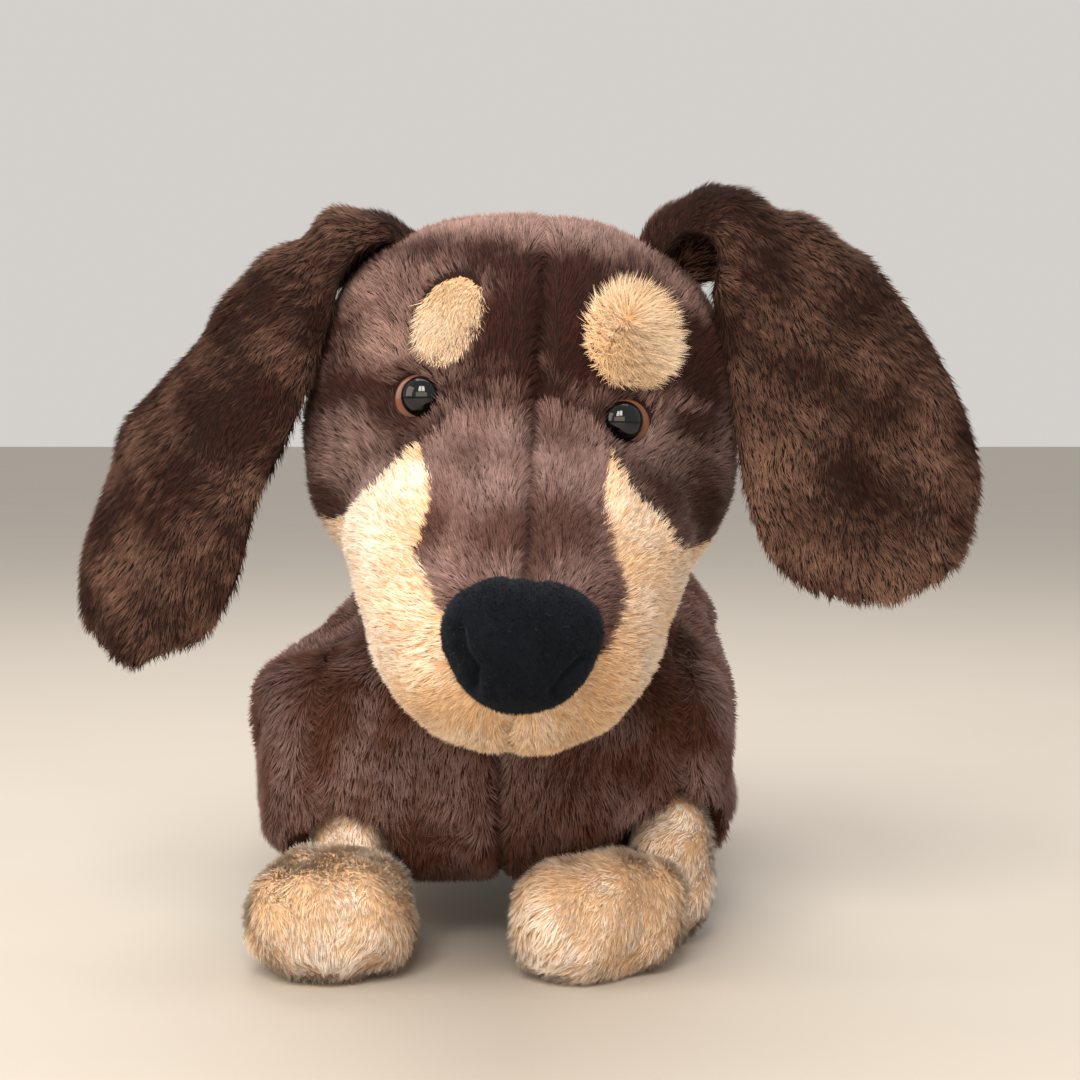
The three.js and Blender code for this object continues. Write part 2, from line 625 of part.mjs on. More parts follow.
function tailSweep(inset, startAt, around = 12, steps = 12) {
  const frames = tailPath.computeFrenetFrames(steps);
  const points = [];
  const triangles = [];
  for (let i = 0; i <= steps; i++) {
    const s = i / steps;
    const centre = tailPath.getPointAt(startAt + (1 - startAt) * s);
    const thick = THREE.MathUtils.lerp(TAIL_BALL, 8, s) * Math.sqrt(1 - Math.max(0, (s - 0.8) / 0.23) ** 2);
    for (let j = 0; j < around; j++) {
      const a = (j / around) * 2 * Math.PI;
      points.push(
        ...centre
          .clone()
          .addScaledVector(frames.normals[i], (thick - inset) * Math.cos(a))
          .addScaledVector(frames.binormals[i], (thick - inset) * Math.sin(a))
          .toArray(),
      );
    }
  }
  const ring = (i, j) => i * around + (j % around);
  for (let i = 0; i < steps; i++)
    for (let j = 0; j < around; j++) {
      triangles.push(ring(i, j), ring(i, j + 1), ring(i + 1, j + 1));
      triangles.push(ring(i, j), ring(i + 1, j + 1), ring(i + 1, j));
    }
  for (let j = 1; j < around - 1; j++) {
    triangles.push(ring(0, 0), ring(0, j + 1), ring(0, j));
    triangles.push(ring(steps, 0), ring(steps, j), ring(steps, j + 1));
  }
  const geometry = new THREE.BufferGeometry();
  geometry.setAttribute("position", new THREE.BufferAttribute(new Float32Array(points), 3));
  geometry.setIndex(triangles);
  return solidOf(geometry);
}

// The room the tail needs in the torso as it wags.
function tailWell() {
  const [x, y, z] = TAIL_ROOT;
  const root = ball(TAIL_ROOT, TAIL_BALL + RUNNING_GAP + 1, 10);
  const shape = unite(tailSweep(-RUNNING_GAP - 1, 0, 10, 8), root);
  const swung = [-30, -10, 10, 30].map((degrees) =>
    shape.translate([-x, -y, -z]).rotate([0, 0, degrees]).translate([x, y, z]),
  );
  return unite(...swung);
}

function buildTail() {
  const tail = new THREE.Group();
  const root = ball(TAIL_ROOT, TAIL_BALL, 12);
  const opening = ball(TAIL_ROOT, TAIL_BALL + 2, 12);
  const hollow = tailSweep(SKIN - 1, 0);
  const tip = (z) => block([-60, 330, z], [60, 420, 240]);
  add(tail, "tail_skin", subtract(tailSweep(0, 0), subtract(hollow, tip(146)), opening), "brown");
  const core = subtract(tailSweep(SKIN - 1 + GAP, 0), tip(146 - GAP));
  add(tail, "tail_filling", unite(root, core), "filling");
  return tail;
}

// ---- assembly ----
// The head's outline with some clearance, leaning as the head does.
function leaningHead(clearance, around) {
  const along = Math.round(around * 0.65);
  return lean(stuffed({ ...headForm, around, along }, clearance), HEAD_ROLL);
}

// The room the head needs over the torso as it nods and turns.
function sweptHead() {
  const back = NECK_CENTRE.map((v) => -v);
  const shape = leaningHead(RUNNING_GAP + 2, 14).translate(back);
  const poses = [-20, 0, 20].flatMap((turn) =>
    [-15, 0, 8].map((nod) => shape.rotate([nod, 0, 0]).rotate([0, 0, turn])),
  );
  return unite(...poses).translate(NECK_CENTRE);
}

const headSweep = sweptHead();
const legBuilds = legs.map(buildLeg);
dog.add(buildHead(), buildEars(leaningHead(RUNNING_GAP + 0.6, 20)), buildNeck());
dog.add(buildTorso(legBuilds), buildTail());
dog.add(...legBuilds.map(({ group }) => group));

// The origin is on the floor, under the middle of the dog's outline.
const bounds = new THREE.Box3().setFromObject(dog);
const middle = bounds.getCenter(new THREE.Vector3());
dog.position.set(-middle.x, -middle.y, -bounds.min.z);

export default dog;
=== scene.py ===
import math

import bpy
import numpy as np
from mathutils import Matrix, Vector


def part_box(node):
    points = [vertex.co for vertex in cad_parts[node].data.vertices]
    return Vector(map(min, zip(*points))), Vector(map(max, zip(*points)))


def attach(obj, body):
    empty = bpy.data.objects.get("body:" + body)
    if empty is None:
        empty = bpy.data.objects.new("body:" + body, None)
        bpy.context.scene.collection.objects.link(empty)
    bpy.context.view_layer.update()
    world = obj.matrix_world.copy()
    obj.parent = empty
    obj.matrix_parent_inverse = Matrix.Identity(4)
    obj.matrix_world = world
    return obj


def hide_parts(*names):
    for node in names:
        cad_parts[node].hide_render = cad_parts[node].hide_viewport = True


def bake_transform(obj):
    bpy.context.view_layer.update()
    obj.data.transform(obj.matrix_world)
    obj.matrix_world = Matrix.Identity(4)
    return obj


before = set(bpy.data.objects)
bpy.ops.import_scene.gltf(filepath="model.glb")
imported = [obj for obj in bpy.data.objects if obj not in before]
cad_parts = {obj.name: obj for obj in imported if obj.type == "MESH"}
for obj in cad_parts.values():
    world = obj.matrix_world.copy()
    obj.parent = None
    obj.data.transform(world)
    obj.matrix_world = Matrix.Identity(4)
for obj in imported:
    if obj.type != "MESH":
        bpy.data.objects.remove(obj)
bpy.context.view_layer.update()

# Shapes below are worked out in millimetres, with the middle of the neck at x 0 and this y.
neckY = 88.0
neckLow, neckHigh = (np.array(corner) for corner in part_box("neck_skin"))
middleOfNeck = (neckLow + neckHigh) / 2
shift = np.array([middleOfNeck[0], middleOfNeck[1] - neckY / 1000, 0.0])


def toRow(points):
    # millimetres of the shapes below to metres in the frame's own axes
    return np.asarray(points, float) / 1000 + shift


# The camera stands 0.7 m in front of the eyes and looks a little down.
view = {"at": (5, -700, 188), "pitch": 3.9, "lens": 76.5, "sensor": 36}
cameraData = bpy.data.cameras.new("camera")
cameraData.lens = view["lens"]
cameraData.sensor_width = view["sensor"]
camera = bpy.data.objects.new("camera", cameraData)
camera.location = toRow(view["at"])
camera.rotation_euler = (math.radians(90 - view["pitch"]), 0, 0)
bpy.context.scene.collection.objects.link(camera)
bpy.context.scene.camera = camera
bpy.context.scene.view_settings.view_transform = "Standard"


def linear(hexColour):
    # sRGB hex to linear RGBA
    parts = [int(hexColour[i:i + 2], 16) / 255 for i in (1, 3, 5)]
    return (*[p / 12.92 if p <= 0.04045 else ((p + 0.055) / 1.055) ** 2.4 for p in parts], 1.0)


def addNode(tree, kind, settings, links=()):
    # adds a node, sets its fields and sockets, and links (socket name or number, output) pairs into it
    node = tree.nodes.new(kind)
    for key, value in settings.items():
        if isinstance(key, str) and hasattr(node, key):
            setattr(node, key, value)
        else:
            node.inputs[key].default_value = value
    for key, output in links:
        tree.links.new(output, node.inputs[key])
    return node


def newMaterial(name, settings):
    made = bpy.data.materials.new(name)
    made.use_nodes = True
    shader = made.node_tree.nodes["Principled BSDF"]
    for key, value in settings.items():
        shader.inputs[key].default_value = value
    return made, made.node_tree, shader


def mottled(name, settings, first, second, scale, bump=None):
    # two colours run together by noise of a given scale, with a fine bump where the finish has one
    made, tree, shader = newMaterial(name, settings)
    spot = addNode(tree, "ShaderNodeTexCoord", {}).outputs["Object"]
    noise = addNode(tree, "ShaderNodeTexNoise", {"Scale": scale, "Detail": 3.0}, [("Vector", spot)])
    mix = addNode(tree, "ShaderNodeMix", {"data_type": "RGBA", 6: linear(first), 7: linear(second)},
                  [(0, noise.outputs["Fac"])])
    tree.links.new(mix.outputs[2], shader.inputs["Base Color"])
    if bump:
        grain = addNode(tree, "ShaderNodeTexNoise", {"Scale": bump["scale"], "Detail": 2.0},
                        [("Vector", spot)])
        lift = addNode(tree, "ShaderNodeBump", {"Strength": bump["strength"], "Distance": bump["distance"]},
                       [("Height", grain.outputs["Fac"])])
        tree.links.new(lift.outputs["Normal"], shader.inputs["Normal"])
    return made


# A window of four panes in front and above, a broad fill, a low bounce and a soft light
# from above and behind.
studio = {
    "paneA": {"at": (-0.36, -1.25, 0.90), "size": (0.30, 0.34), "power": 5.0, "colour": "#fff8ee"},
    "paneB": {"at": (0.00, -1.25, 0.90), "size": (0.30, 0.34), "power": 5.0, "colour": "#fff8ee"},
    "paneC": {"at": (-0.36, -1.25, 1.30), "size": (0.30, 0.34), "power": 5.0, "colour": "#fff8ee"},
    "paneD": {"at": (0.00, -1.25, 1.30), "size": (0.30, 0.34), "power": 5.0, "colour": "#fff8ee"},
    "fill": {"at": (-1.1, -0.5, 0.6), "size": (0.8, 0.8), "power": 6.5, "colour": "#fff1dd"},
    "low": {"at": (-0.2, -1.5, 0.45), "size": (1.4, 0.5), "power": 6.0, "colour": "#ffe6cc"},
    "top": {"at": (0.0, 0.35, 1.2), "size": (1.0, 1.0), "power": 11, "colour": "#fffaf4"},
}
lookAt = Vector((0, -0.08, 0.12))
sky = {"colour": "#ece8e3", "strength": 0.78}
board = {"half": 6, "roughness": 0.6, "colours": ("#b9b2a8", "#bfb8af"), "scale": 9.0}
for lampName, lamp in studio.items():
    data = bpy.data.lights.new(lampName, "AREA")
    data.shape = "RECTANGLE"
    data.size, data.size_y = lamp["size"]
    data.energy = lamp["power"]
    data.color = linear(lamp["colour"])[:3]
    holder = bpy.data.objects.new(lampName, data)
    holder.location = lamp["at"]
    holder.rotation_euler = (lookAt - Vector(lamp["at"])).to_track_quat("-Z", "Y").to_euler()
    bpy.context.scene.collection.objects.link(holder)
world = bpy.data.worlds.new("studio")
world.use_nodes = True
world.node_tree.nodes["Background"].inputs["Color"].default_value = linear(sky["colour"])
world.node_tree.nodes["Background"].inputs["Strength"].default_value = sky["strength"]
bpy.context.scene.world = world

# Painted board: an even pale matt coat with the faintest mottle.
floorMesh = bpy.data.meshes.new("floor")
corners = [(x * board["half"], y * board["half"], 0) for x, y in ((-1, -1), (1, -1), (1, 1), (-1, 1))]
floorMesh.from_pydata(corners, [], [(0, 1, 2, 3)])
floor = bpy.data.objects.new("floor", floorMesh)
bpy.context.scene.collection.objects.link(floor)
floorMesh.materials.append(mottled("painted_board_matt", {"Roughness": board["roughness"]},
                                   *board["colours"], board["scale"]))
print("camera, floor and light made")

# Shapes: rounded lobes run together, and the seams and noise that move them.


def unit(vectors):
    return vectors / np.maximum(np.linalg.norm(vectors, axis=-1, keepdims=True), 1e-9)


def makeMesh(name, points, triangles):
    # points in millimetres; the triangles are turned round if the volume they close is negative
    placed = toRow(points)
    a, b, c = (placed[triangles[:, i]] - placed.mean(0) for i in range(3))
    if np.einsum("ij,ij->i", a, np.cross(b, c)).sum() < 0:
        triangles = triangles[:, ::-1]
    mesh = bpy.data.meshes.new(name)
    mesh.vertices.add(len(placed))
    mesh.vertices.foreach_set("co", placed.astype(np.float32).ravel())
    mesh.loops.add(triangles.size)
    mesh.loops.foreach_set("vertex_index", triangles.astype(np.int32).ravel())
    mesh.polygons.add(len(triangles))
    mesh.polygons.foreach_set("loop_start", np.arange(0, triangles.size, 3, dtype=np.int32))
    mesh.polygons.foreach_set("use_smooth", np.ones(len(triangles), bool))
    mesh.update(calc_edges=True)
    piece = bpy.data.objects.new(name, mesh)
    bpy.context.scene.collection.objects.link(piece)
    return piece


def setAttributes(piece, values):
    for key, numbers in values.items():
        layer = piece.data.attributes.new(key, "FLOAT", "POINT")
        layer.data.foreach_set("value", np.asarray(numbers, np.float32))


def lobeDistance(points, lobe):
    # a rounded box: k is the power mean, of the lobe's squareness, of the offsets over the radii,
    # and the distance is (k - 1) over the slope of k
    offset = points - np.array(lobe["centre"], float)
    turn = math.radians(lobe.get("turn", 0))
    power = lobe.get("square", 2)
    local = np.stack([
        offset[:, 0] * math.cos(turn) + offset[:, 1] * math.sin(turn),
        offset[:, 1] * math.cos(turn) - offset[:, 0] * math.sin(turn),
        offset[:, 2],
    ], 1)
    radii = np.array(lobe["radii"], float)
    ratio = np.abs(local) / radii
    k = np.maximum((ratio ** power).sum(1) ** (1 / power), 1e-6)
    slope = np.sqrt((((ratio ** (power - 1)) * k[:, None] ** (1 - power) / radii) ** 2).sum(1))
    return (k - 1) / np.maximum(slope, 1e-9)


def softDistance(points, form):
    # lobes run together: minus blend times the log of the sum of exp(-distance / blend)
    blend = form.get("blend", 7)
    return -blend * np.log(sum(np.exp(-lobeDistance(points, lobe) / blend) for lobe in form["lobes"]))


def gridFaces(rows, columns):
    # two triangles to each cell of a grid that closes on itself across its columns, and a fan to a
    # pole at each end; the poles are the last two points
    i, j = np.meshgrid(np.arange(rows - 1), np.arange(columns), indexing="ij")
    a, b = i * columns + j, i * columns + (j + 1) % columns
    sides = np.concatenate([np.stack([a, b, b + columns], 2), np.stack([a, b + columns, a + columns], 2)])
    j = np.arange(columns)
    following = (j + 1) % columns
    last = (rows - 1) * columns
    start = np.stack([np.full(columns, rows * columns), following, j], 1)
    end = np.stack([np.full(columns, rows * columns + 1), last + j, last + following], 1)
    return np.concatenate([sides.reshape(-1, 3), start, end])


def rayEnd(inside, centre, directions, far, halvings=24):
    # how far each ray from the centre stays inside, by halving the span again and again
    low, high = np.zeros(len(directions)), np.broadcast_to(far, len(directions)).astype(float)
    for _ in range(halvings):
        middle = (low + high) / 2
        within = inside(centre + directions * middle[:, None])
        low, high = np.where(within, middle, low), np.where(within, high, middle)
    return low


def stuffedShape(form, inset, around, along, far=260):
    # a ball of rays with its poles on the y axis, each ray as long as the lobes reach, less the inset;
    # no lobe reaches as far as the last number, in millimetres
    polar, turn = np.meshgrid(np.linspace(0, math.pi, along + 2)[1:-1],
                              np.linspace(0, 2 * math.pi, around, endpoint=False), indexing="ij")
    rings = np.stack([np.sin(polar) * np.cos(turn), -np.cos(polar), np.sin(polar) * np.sin(turn)], 2)
    directions = np.concatenate([rings.reshape(-1, 3), [[0, -1, 0]], [[0, 1, 0]]])
    centre = np.array(form["from"], float)
    reach = rayEnd(lambda p: softDistance(p, form) < -inset, centre, directions, far)
    return centre + directions * reach[:, None], gridFaces(along, around)


def vertexNormals(points, triangles):
    a, b, c = (points[triangles[:, i]] for i in range(3))
    face = np.cross(b - a, c - a)
    normals = np.zeros_like(points)
    for i in range(3):
        np.add.at(normals, triangles[:, i], face)
    if np.einsum("ij,ij->i", a - points.mean(0), face).sum() < 0:
        normals = -normals
    return unit(normals)


def wave(points, size, seed, sines=6):
    # smooth noise from about -1 to 1: sines in random directions, about size mm from peak to peak
    random = np.random.default_rng(seed)
    total = np.zeros(len(points))
    for _ in range(sines):
        direction = unit(random.normal(size=3)) * 2 * math.pi / (size * random.uniform(0.7, 1.5))
        total += np.sin(points @ direction + random.uniform(0, 6.28))  # a random start for each sine
    return total / 2.6


# mixes a cell's three numbers, so that the middles of neighbouring locks look unrelated
lockMix = np.array([[127.1, 269.5, 419.2], [311.7, 183.3, 371.9], [74.7, 246.1, 168.5]])


def toLock(points, size, seed):
    # the way from each point to the nearest lock's middle: one middle at a random place in each
    # cell of a grid, size mm wide, and the nearest of the 27 cells round the point
    cell = np.floor(points / size)
    best = np.full(len(points), 1e9)
    way = np.zeros_like(points)
    for step in np.stack(np.meshgrid(*[(-1, 0, 1)] * 3), -1).reshape(-1, 3):
        corner = cell + step
        mixed = corner @ lockMix + seed
        middle = (corner + 0.5 + 0.45 * np.sin(mixed * 43.7)) * size
        distance = np.linalg.norm(middle - points, axis=1)
        nearer = distance < best
        best = np.where(nearer, distance, best)
        way = np.where(nearer[:, None], middle - points, way)
    return way


def toLine(points, line):
    # in the front view: distance to a run of straight segments, and the way to it
    flat = points[:, [0, 2]]
    best = np.full(len(points), 1e6)
    way = np.zeros((len(points), 3))
    line = np.array(line, float)
    for start, end in zip(line[:-1], line[1:]):
        span = end - start
        t = np.clip((flat - start) @ span / (span @ span), 0, 1)
        offset = start + t[:, None] * span - flat
        distance = np.linalg.norm(offset, axis=1)
        nearer = distance < best
        best = np.where(nearer, distance, best)
        way = np.where(nearer[:, None], np.stack([offset[:, 0], np.zeros(len(t)), offset[:, 1]], 1), way)
    return best, unit(way)


def seamDepth(points, seams):
    # the stitching pulls in by depth * exp(-(distance / width) squared)
    sunk = np.zeros(len(points))
    for seam in seams:
        near = (points[:, 1] < seam["until"]) & (points[:, 1] > seam.get("behind", -500))
        sunk += near * seam["depth"] * np.exp(-(toLine(points, seam["line"])[0] / seam["width"]) ** 2)
    return sunk


def insideOutline(points, outline):
    # in the front view: how many edges a ray to the right crosses
    x, z = points[:, 0], points[:, 2]
    odd = np.zeros(len(points), bool)
    for (x0, z0), (x1, z1) in zip(outline, np.roll(outline, -1, 0)):
        if z0 != z1:
            odd ^= ((z0 > z) != (z1 > z)) & (x < (x1 - x0) * (z - z0) / (z1 - z0) + x0)
    return odd


# Polyester pile plush: a knitted backing with a cut, brushed pile. Light and shade are painted into its
# colour: the roots painted dark as the shade they sit in, the tips lighter where they catch light, and a
# painted sheen, pale and a little mauve, where the pile lies flat towards the light; on the paws the pale
# colour is the cream of the toes. A real fibre is too fine to show, so a hair here is as thick as a
# small tuft.
pileLooks = {
    "crown": {"root": "#0d0301", "mid": "#27100a", "tip": "#42221a", "paleAndSheen": "#a5857c"},
    "bridge": {"root": "#170a07", "mid": "#3c231c", "tip": "#62433b", "paleAndSheen": "#a1847e"},
    "cheek": {"root": "#0d0503", "mid": "#29150e", "tip": "#482c24", "paleAndSheen": "#9f847e"},
    "ear": {"root": "#0b0301", "mid": "#220f09", "tip": "#3c2018", "paleAndSheen": "#93705f"},
    "torso": {"root": "#1a0b06", "mid": "#432618", "tip": "#6c473a", "paleAndSheen": "#9a8280"},
    "tan": {"root": "#b87a40", "mid": "#e4b98d", "tip": "#f2d3b0", "paleAndSheen": "#fff5ea"},
    "brow": {"root": "#bd8148", "mid": "#e4b686", "tip": "#f6dab5", "paleAndSheen": "#fae9d3"},
    "paw": {"root": "#c59567", "mid": "#e6c09a", "tip": "#f3d9bc", "paleAndSheen": "#fff6ee"},
}


def pileMaterial(name, look):
    made, tree, shader = newMaterial(name + "_pile_plush_brushed_painted_sheen", {
        "Roughness": 0.85,
        "Specular IOR Level": 0.2,
        "Sheen Weight": 0.1,
        "Sheen Roughness": 0.4,
        "Sheen Tint": linear(look["paleAndSheen"]),
    })
    # the three attributes paint light into the colour: along runs from the painted shade of the roots to the
    # lit tips, the pale mix is painted sheen (and the cream of the toes), and shade is painted shade
    along, shade, paleAndSheen = (
        addNode(tree, "ShaderNodeAttribute", {"attribute_name": key}).outputs["Fac"]
        for key in ("along", "shade", "paleAndSheen")
    )
    spot = addNode(tree, "ShaderNodeTexCoord", {}).outputs["Object"]
    fibres = addNode(tree, "ShaderNodeTexNoise", {"Scale": 1400.0, "Detail": 1.0}, [("Vector", spot)])
    length = addNode(tree, "ShaderNodeValToRGB", {}, [("Fac", along)])
    ramp = length.color_ramp
    ramp.elements[0].color = linear(look["root"])
    ramp.elements[1].color = linear(look["tip"])
    ramp.elements.new(0.45).color = linear(look["mid"])
    reached = addNode(tree, "ShaderNodeMath", {"operation": "MULTIPLY"}, [(0, paleAndSheen), (1, along)])
    pale = addNode(tree, "ShaderNodeMix", {"data_type": "RGBA", 7: linear(look["paleAndSheen"])},
                   [(0, reached.outputs[0]), (6, length.outputs["Color"])])
    speckle = addNode(tree, "ShaderNodeMath", {"operation": "MULTIPLY_ADD", 1: 0.3},
                      [(0, fibres.outputs["Fac"]), (2, shade)])
    value = addNode(tree, "ShaderNodeMapRange",
                    {"From Min": 0.15, "From Max": 1.15, "To Min": 0.45, "To Max": 1.65},
                    [("Value", speckle.outputs[0])])
    tone = addNode(tree, "ShaderNodeHueSaturation", {},
                   [("Color", pale.outputs[2]), ("Value", value.outputs["Result"])])
    tree.links.new(tone.outputs["Color"], shader.inputs["Base Color"])
    return made


pile = {name: pileMaterial(name, look) for name, look in pileLooks.items()}
# length, width, lock and patch in millimetres; lean in degrees from the normal; base is the lowest z
pilePlain = {
    "length": 5.0, "width": 0.4, "lean": 69, "lock": 2.6, "clump": 0.5, "swirl": 0.3, "stray": 0.18,
    "patch": 24, "paleAndSheenLevel": 0.35, "seed": 1, "base": None,
}
# the hairs near a seam are also darkened with painted shade, as in a crease
seamFall = {"pull": 3.5, "short": 2.5, "dark": 0.9}  # how far from a seam it pulls, shortens and darkens
rootSunk = 0.5


def paintedLightAt(points, patches):
    # each patch adds tone * exp(-(offset over size) squared) in the front view: a painted sheen where
    # the tone is above 0, and painted shade where it is below
    total = np.zeros(len(points))
    for x, z, wide, tall, tone in patches:
        total += tone * np.exp(-((points[:, 0] - x) / wide) ** 2 - ((points[:, 2] - z) / tall) ** 2)
    return total


def scatter(points, triangles, normals, perSquare, seed, weight):
    # random roots spread evenly over a surface, perSquare to a square millimetre where the weight is 1
    random = np.random.default_rng(seed)
    a, b, c = (points[triangles[:, i]] for i in range(3))
    area = np.linalg.norm(np.cross(b - a, c - a), axis=1) / 2 * weight((a + b + c) / 3)
    count = int(area.sum() * perSquare)
    pick = np.minimum(np.searchsorted(np.cumsum(area), random.uniform(0, area.sum(), count)), len(area) - 1)
    u, v = random.uniform(size=(2, count, 1))
    u, v = np.where(u + v > 1, 1 - u, u), np.where(u + v > 1, 1 - v, v)
    corners = triangles[pick]
    return tuple(
        array[corners[:, 0]] * (1 - u - v) + array[corners[:, 1]] * u + array[corners[:, 2]] * v
        for array in (points, unit(normals))
    )


def growPile(name, material, roots, normals, nap, changes, seams=(), patches=(), turned=None, keep=None):
    # each hair is a closed three-sided spike: its base lies across the nap, sunk a little, and its tip
    # is length along normal * cos(lean) + nap * sin(lean), drawn in towards the middle of its lock
    look = {**pilePlain, **changes}
    random = np.random.default_rng(look["seed"])
    count = len(roots)
    normals = unit(normals)
    flow = nap.astype(float)
    shorter = np.ones(count)
    paintedSeamShade = np.zeros(count)
    for seam in seams:
        distance, way = toLine(roots, seam["line"])
        near = (roots[:, 1] < seam["until"]) & (roots[:, 1] > seam.get("behind", -500))
        pull = near * seam.get("pull", 1.3)
        flow = flow + way * (pull * np.exp(-(distance / seamFall["pull"]) ** 2))[:, None]
        shorter -= near * 0.5 * seam["dark"] * np.exp(-(distance / seamFall["short"]) ** 2)
        paintedSeamShade += near * seam["dark"] * np.exp(-(distance / seam["width"] / seamFall["dark"]) ** 2)
    flow = unit(flow - normals * (flow * normals).sum(1, keepdims=True))
    across = np.cross(normals, flow)
    swirl = wave(roots, look["patch"], look["seed"] + 3) + 0.6 * wave(roots, 9, look["seed"] + 4)
    swirl = look["swirl"] * swirl
    flow = unit(flow + across * (swirl + random.normal(size=count) * look["stray"])[:, None])
    lift = wave(roots, look["patch"] * 0.8, look["seed"] + 5)
    lean = np.radians(look["lean"] - 5 * lift + random.normal(size=count) * 5)[:, None]
    way = unit(normals * np.cos(lean) + flow * np.sin(lean))
    toMiddle = toLock(roots, look["lock"], look["seed"])
    toMiddle -= normals * (toMiddle * normals).sum(1, keepdims=True)
    off = np.linalg.norm(toMiddle, axis=1) / look["lock"]
    length = look["length"] * shorter * (1 + random.normal(size=count) * 0.1 + 0.08 * lift - 0.15 * off)
    width = look["width"] * random.uniform(0.75, 1.25, size=(count, 1))
    tip = roots + way * length[:, None] + toMiddle * look["clump"]
    way = unit(tip - roots)
    side = unit(np.cross(way, normals))
    deep = unit(np.cross(side, way))
    base = roots - normals * rootSunk
    points = np.stack([base + side * width / 2, base - side * width / 2, base + deep * width * 0.4, tip], 1)
    if look["base"] is not None:
        points[:, :, 2] = np.maximum(points[:, :, 2], look["base"])
    chosen = np.ones(count, bool) if keep is None else keep(roots, tip)
    # how far each hair turns to the pale colour: the patches' painted sheen and shade, a level and random
    # waves
    tone = paintedLightAt(roots, patches) + look["paleAndSheenLevel"] + 0.3 * wave(roots, look["patch"], look["seed"] + 6)
    tone = np.clip(tone + 0.16 * wave(roots, 5, look["seed"] + 7) + random.normal(size=count) * 0.08, 0, 1)
    # painted shade, darker at a lock's edge and near a seam; its random part per hair paints highlight
    # streaks
    shade = 0.62 - 0.35 * off - paintedSeamShade + 0.1 * lift + random.normal(size=count) * 0.16
    rooted = normals[:, None, :].repeat(3, 1)
    tipped = unit(normals * 0.85 + way * 0.2 + across * random.normal(size=(count, 1)) * 0.12)[:, None, :]
    shading = np.concatenate([rooted, tipped], 1)[chosen]
    points = points[chosen]
    total = len(points)
    if turned:
        points, shading = turned(points, shading)
    first = (np.arange(total) * 4)[:, None]
    faces = np.concatenate([first + np.array(f) for f in ((0, 1, 3), (1, 2, 3), (2, 0, 3), (1, 0, 2))])
    piece = makeMesh(name, points.reshape(-1, 3), faces)
    setAttributes(piece, {
        "along": np.tile([0.1, 0.1, 0.1, 1.0], total),
        "shade": np.repeat(np.clip(shade[chosen], 0, 1), 4),
        "paleAndSheen": np.repeat(tone[chosen], 4),
    })
    piece.data.normals_split_custom_set_from_vertices(shading.reshape(-1, 3).astype(np.float32).tolist())
    piece.data.materials.append(material)
    print(name, total, "hairs")
    return piece


def backing(name, points, triangles, materials, panels=None):
    # the stuffed fabric under a pile, coloured as the pile is a third of the way up and darkened: painted
    # shade, as it lies in the shade of the pile
    piece = makeMesh(name, points, triangles)
    count = len(points)
    setAttributes(piece, {"along": np.full(count, 0.3), "shade": np.full(count, 0.4),
                          "paleAndSheen": np.zeros(count)})
    for material in materials:
        piece.data.materials.append(material)
    if panels is not None:
        piece.data.polygons.foreach_set("material_index", panels.astype(np.int32))
    return piece


def place(piece, body, nodes):
    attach(piece, body)
    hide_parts(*nodes)


# Head: one stuffed ball of five panels, leaning a little to one side.
head = {
    "centre": np.array([0.0, 54.0, 187.0]),
    "roll": 3.5,
    "seamX": 4.0,
    "eyeLine": 181.0,
    "inset": 2.2,
    "form": {"from": [0, 30, 160], "blend": 7, "lobes": [
        {"centre": [0, 54, 187], "radii": [68.5, 60, 57], "square": 2.2},
        {"centre": [0, 42, 160], "radii": [67.5, 45, 45], "square": 2.2},
        {"centre": [1, 2, 138], "radii": [54, 46, 36]},
        {"centre": [2, -26, 117], "radii": [43, 46.5, 39], "square": 2.1},
    ]},
    "eyes": {"left": (32.3, 177.7), "right": (-32.3, 181.3)},
    "lid": {"at": 9.5, "width": 3.2, "rise": 2.6, "hollow": 1.2, "hollowWidth": 18},
    "bare": {"nose": 15, "root": 6.9, "tip": 5.7, "browTip": 5.0},  # no hair this near the nose or an eye
    "until": {"muzzle": 78, "bridge": 20, "brow": 40, "eye": 25},  # how far back each outline reaches
    "nose": np.array([4.0, -80.0, 117.0]),
    "seams": [
        {"line": [(4, 226), (4, 128)], "depth": 3.2, "width": 2.2, "until": 60, "dark": 0.5},
        {"line": [(4, 300), (4, 226)], "depth": 1.1, "width": 2.2, "until": 140, "dark": 0.3},
        {"line": [(2, 104), (2, 60)], "depth": 2.2, "width": 1.8, "until": 60, "dark": 0.3},
        {"line": [(-30, 180), (-18, 178.5), (4, 183), (20, 178.5), (27, 173)], "depth": 0.4, "width": 2.6,
         "until": 20, "dark": 0.02, "pull": 0.0},
    ],
    # painted light on the pile: above 0 a painted sheen where it lies flat towards the light, below 0 painted
    # shade
    "patches": [  # x, z, half width, half height, how much paler (or darker) than the rest
        (0, 242, 44, 13, 0.8), (4, 204, 17, 24, -0.9), (-46, 206, 13, 14, 0.6), (-58, 186, 9, 16, -0.4),
        (-44, 183, 7, 7, -0.5), (-46, 160, 14, 12, 0.45), (-62, 150, 8, 10, -0.3), (4, 166, 26, 12, 0.45),
        (8, 146, 12, 9, -0.25), (-2, 132, 22, 7, 0.2), (28, 126, 7, 12, 0.15), (46, 214, 8, 8, 0.35),
        (54, 198, 13, 14, -0.8), (50, 174, 14, 10, 0.15), (58, 152, 12, 14, -0.5),
    ],
    # on the tan: the left side painted paler as lit, and painted shade under the nose
    "tanPatches": [
        (-42, 140, 15, 26, 0.6), (-40, 110, 13, 30, 0.35), (-14, 92, 14, 12, -0.35), (8, 84, 14, 10, 0.1),
        (42, 130, 12, 24, 0.1), (30, 96, 14, 16, -0.15),
    ],
}


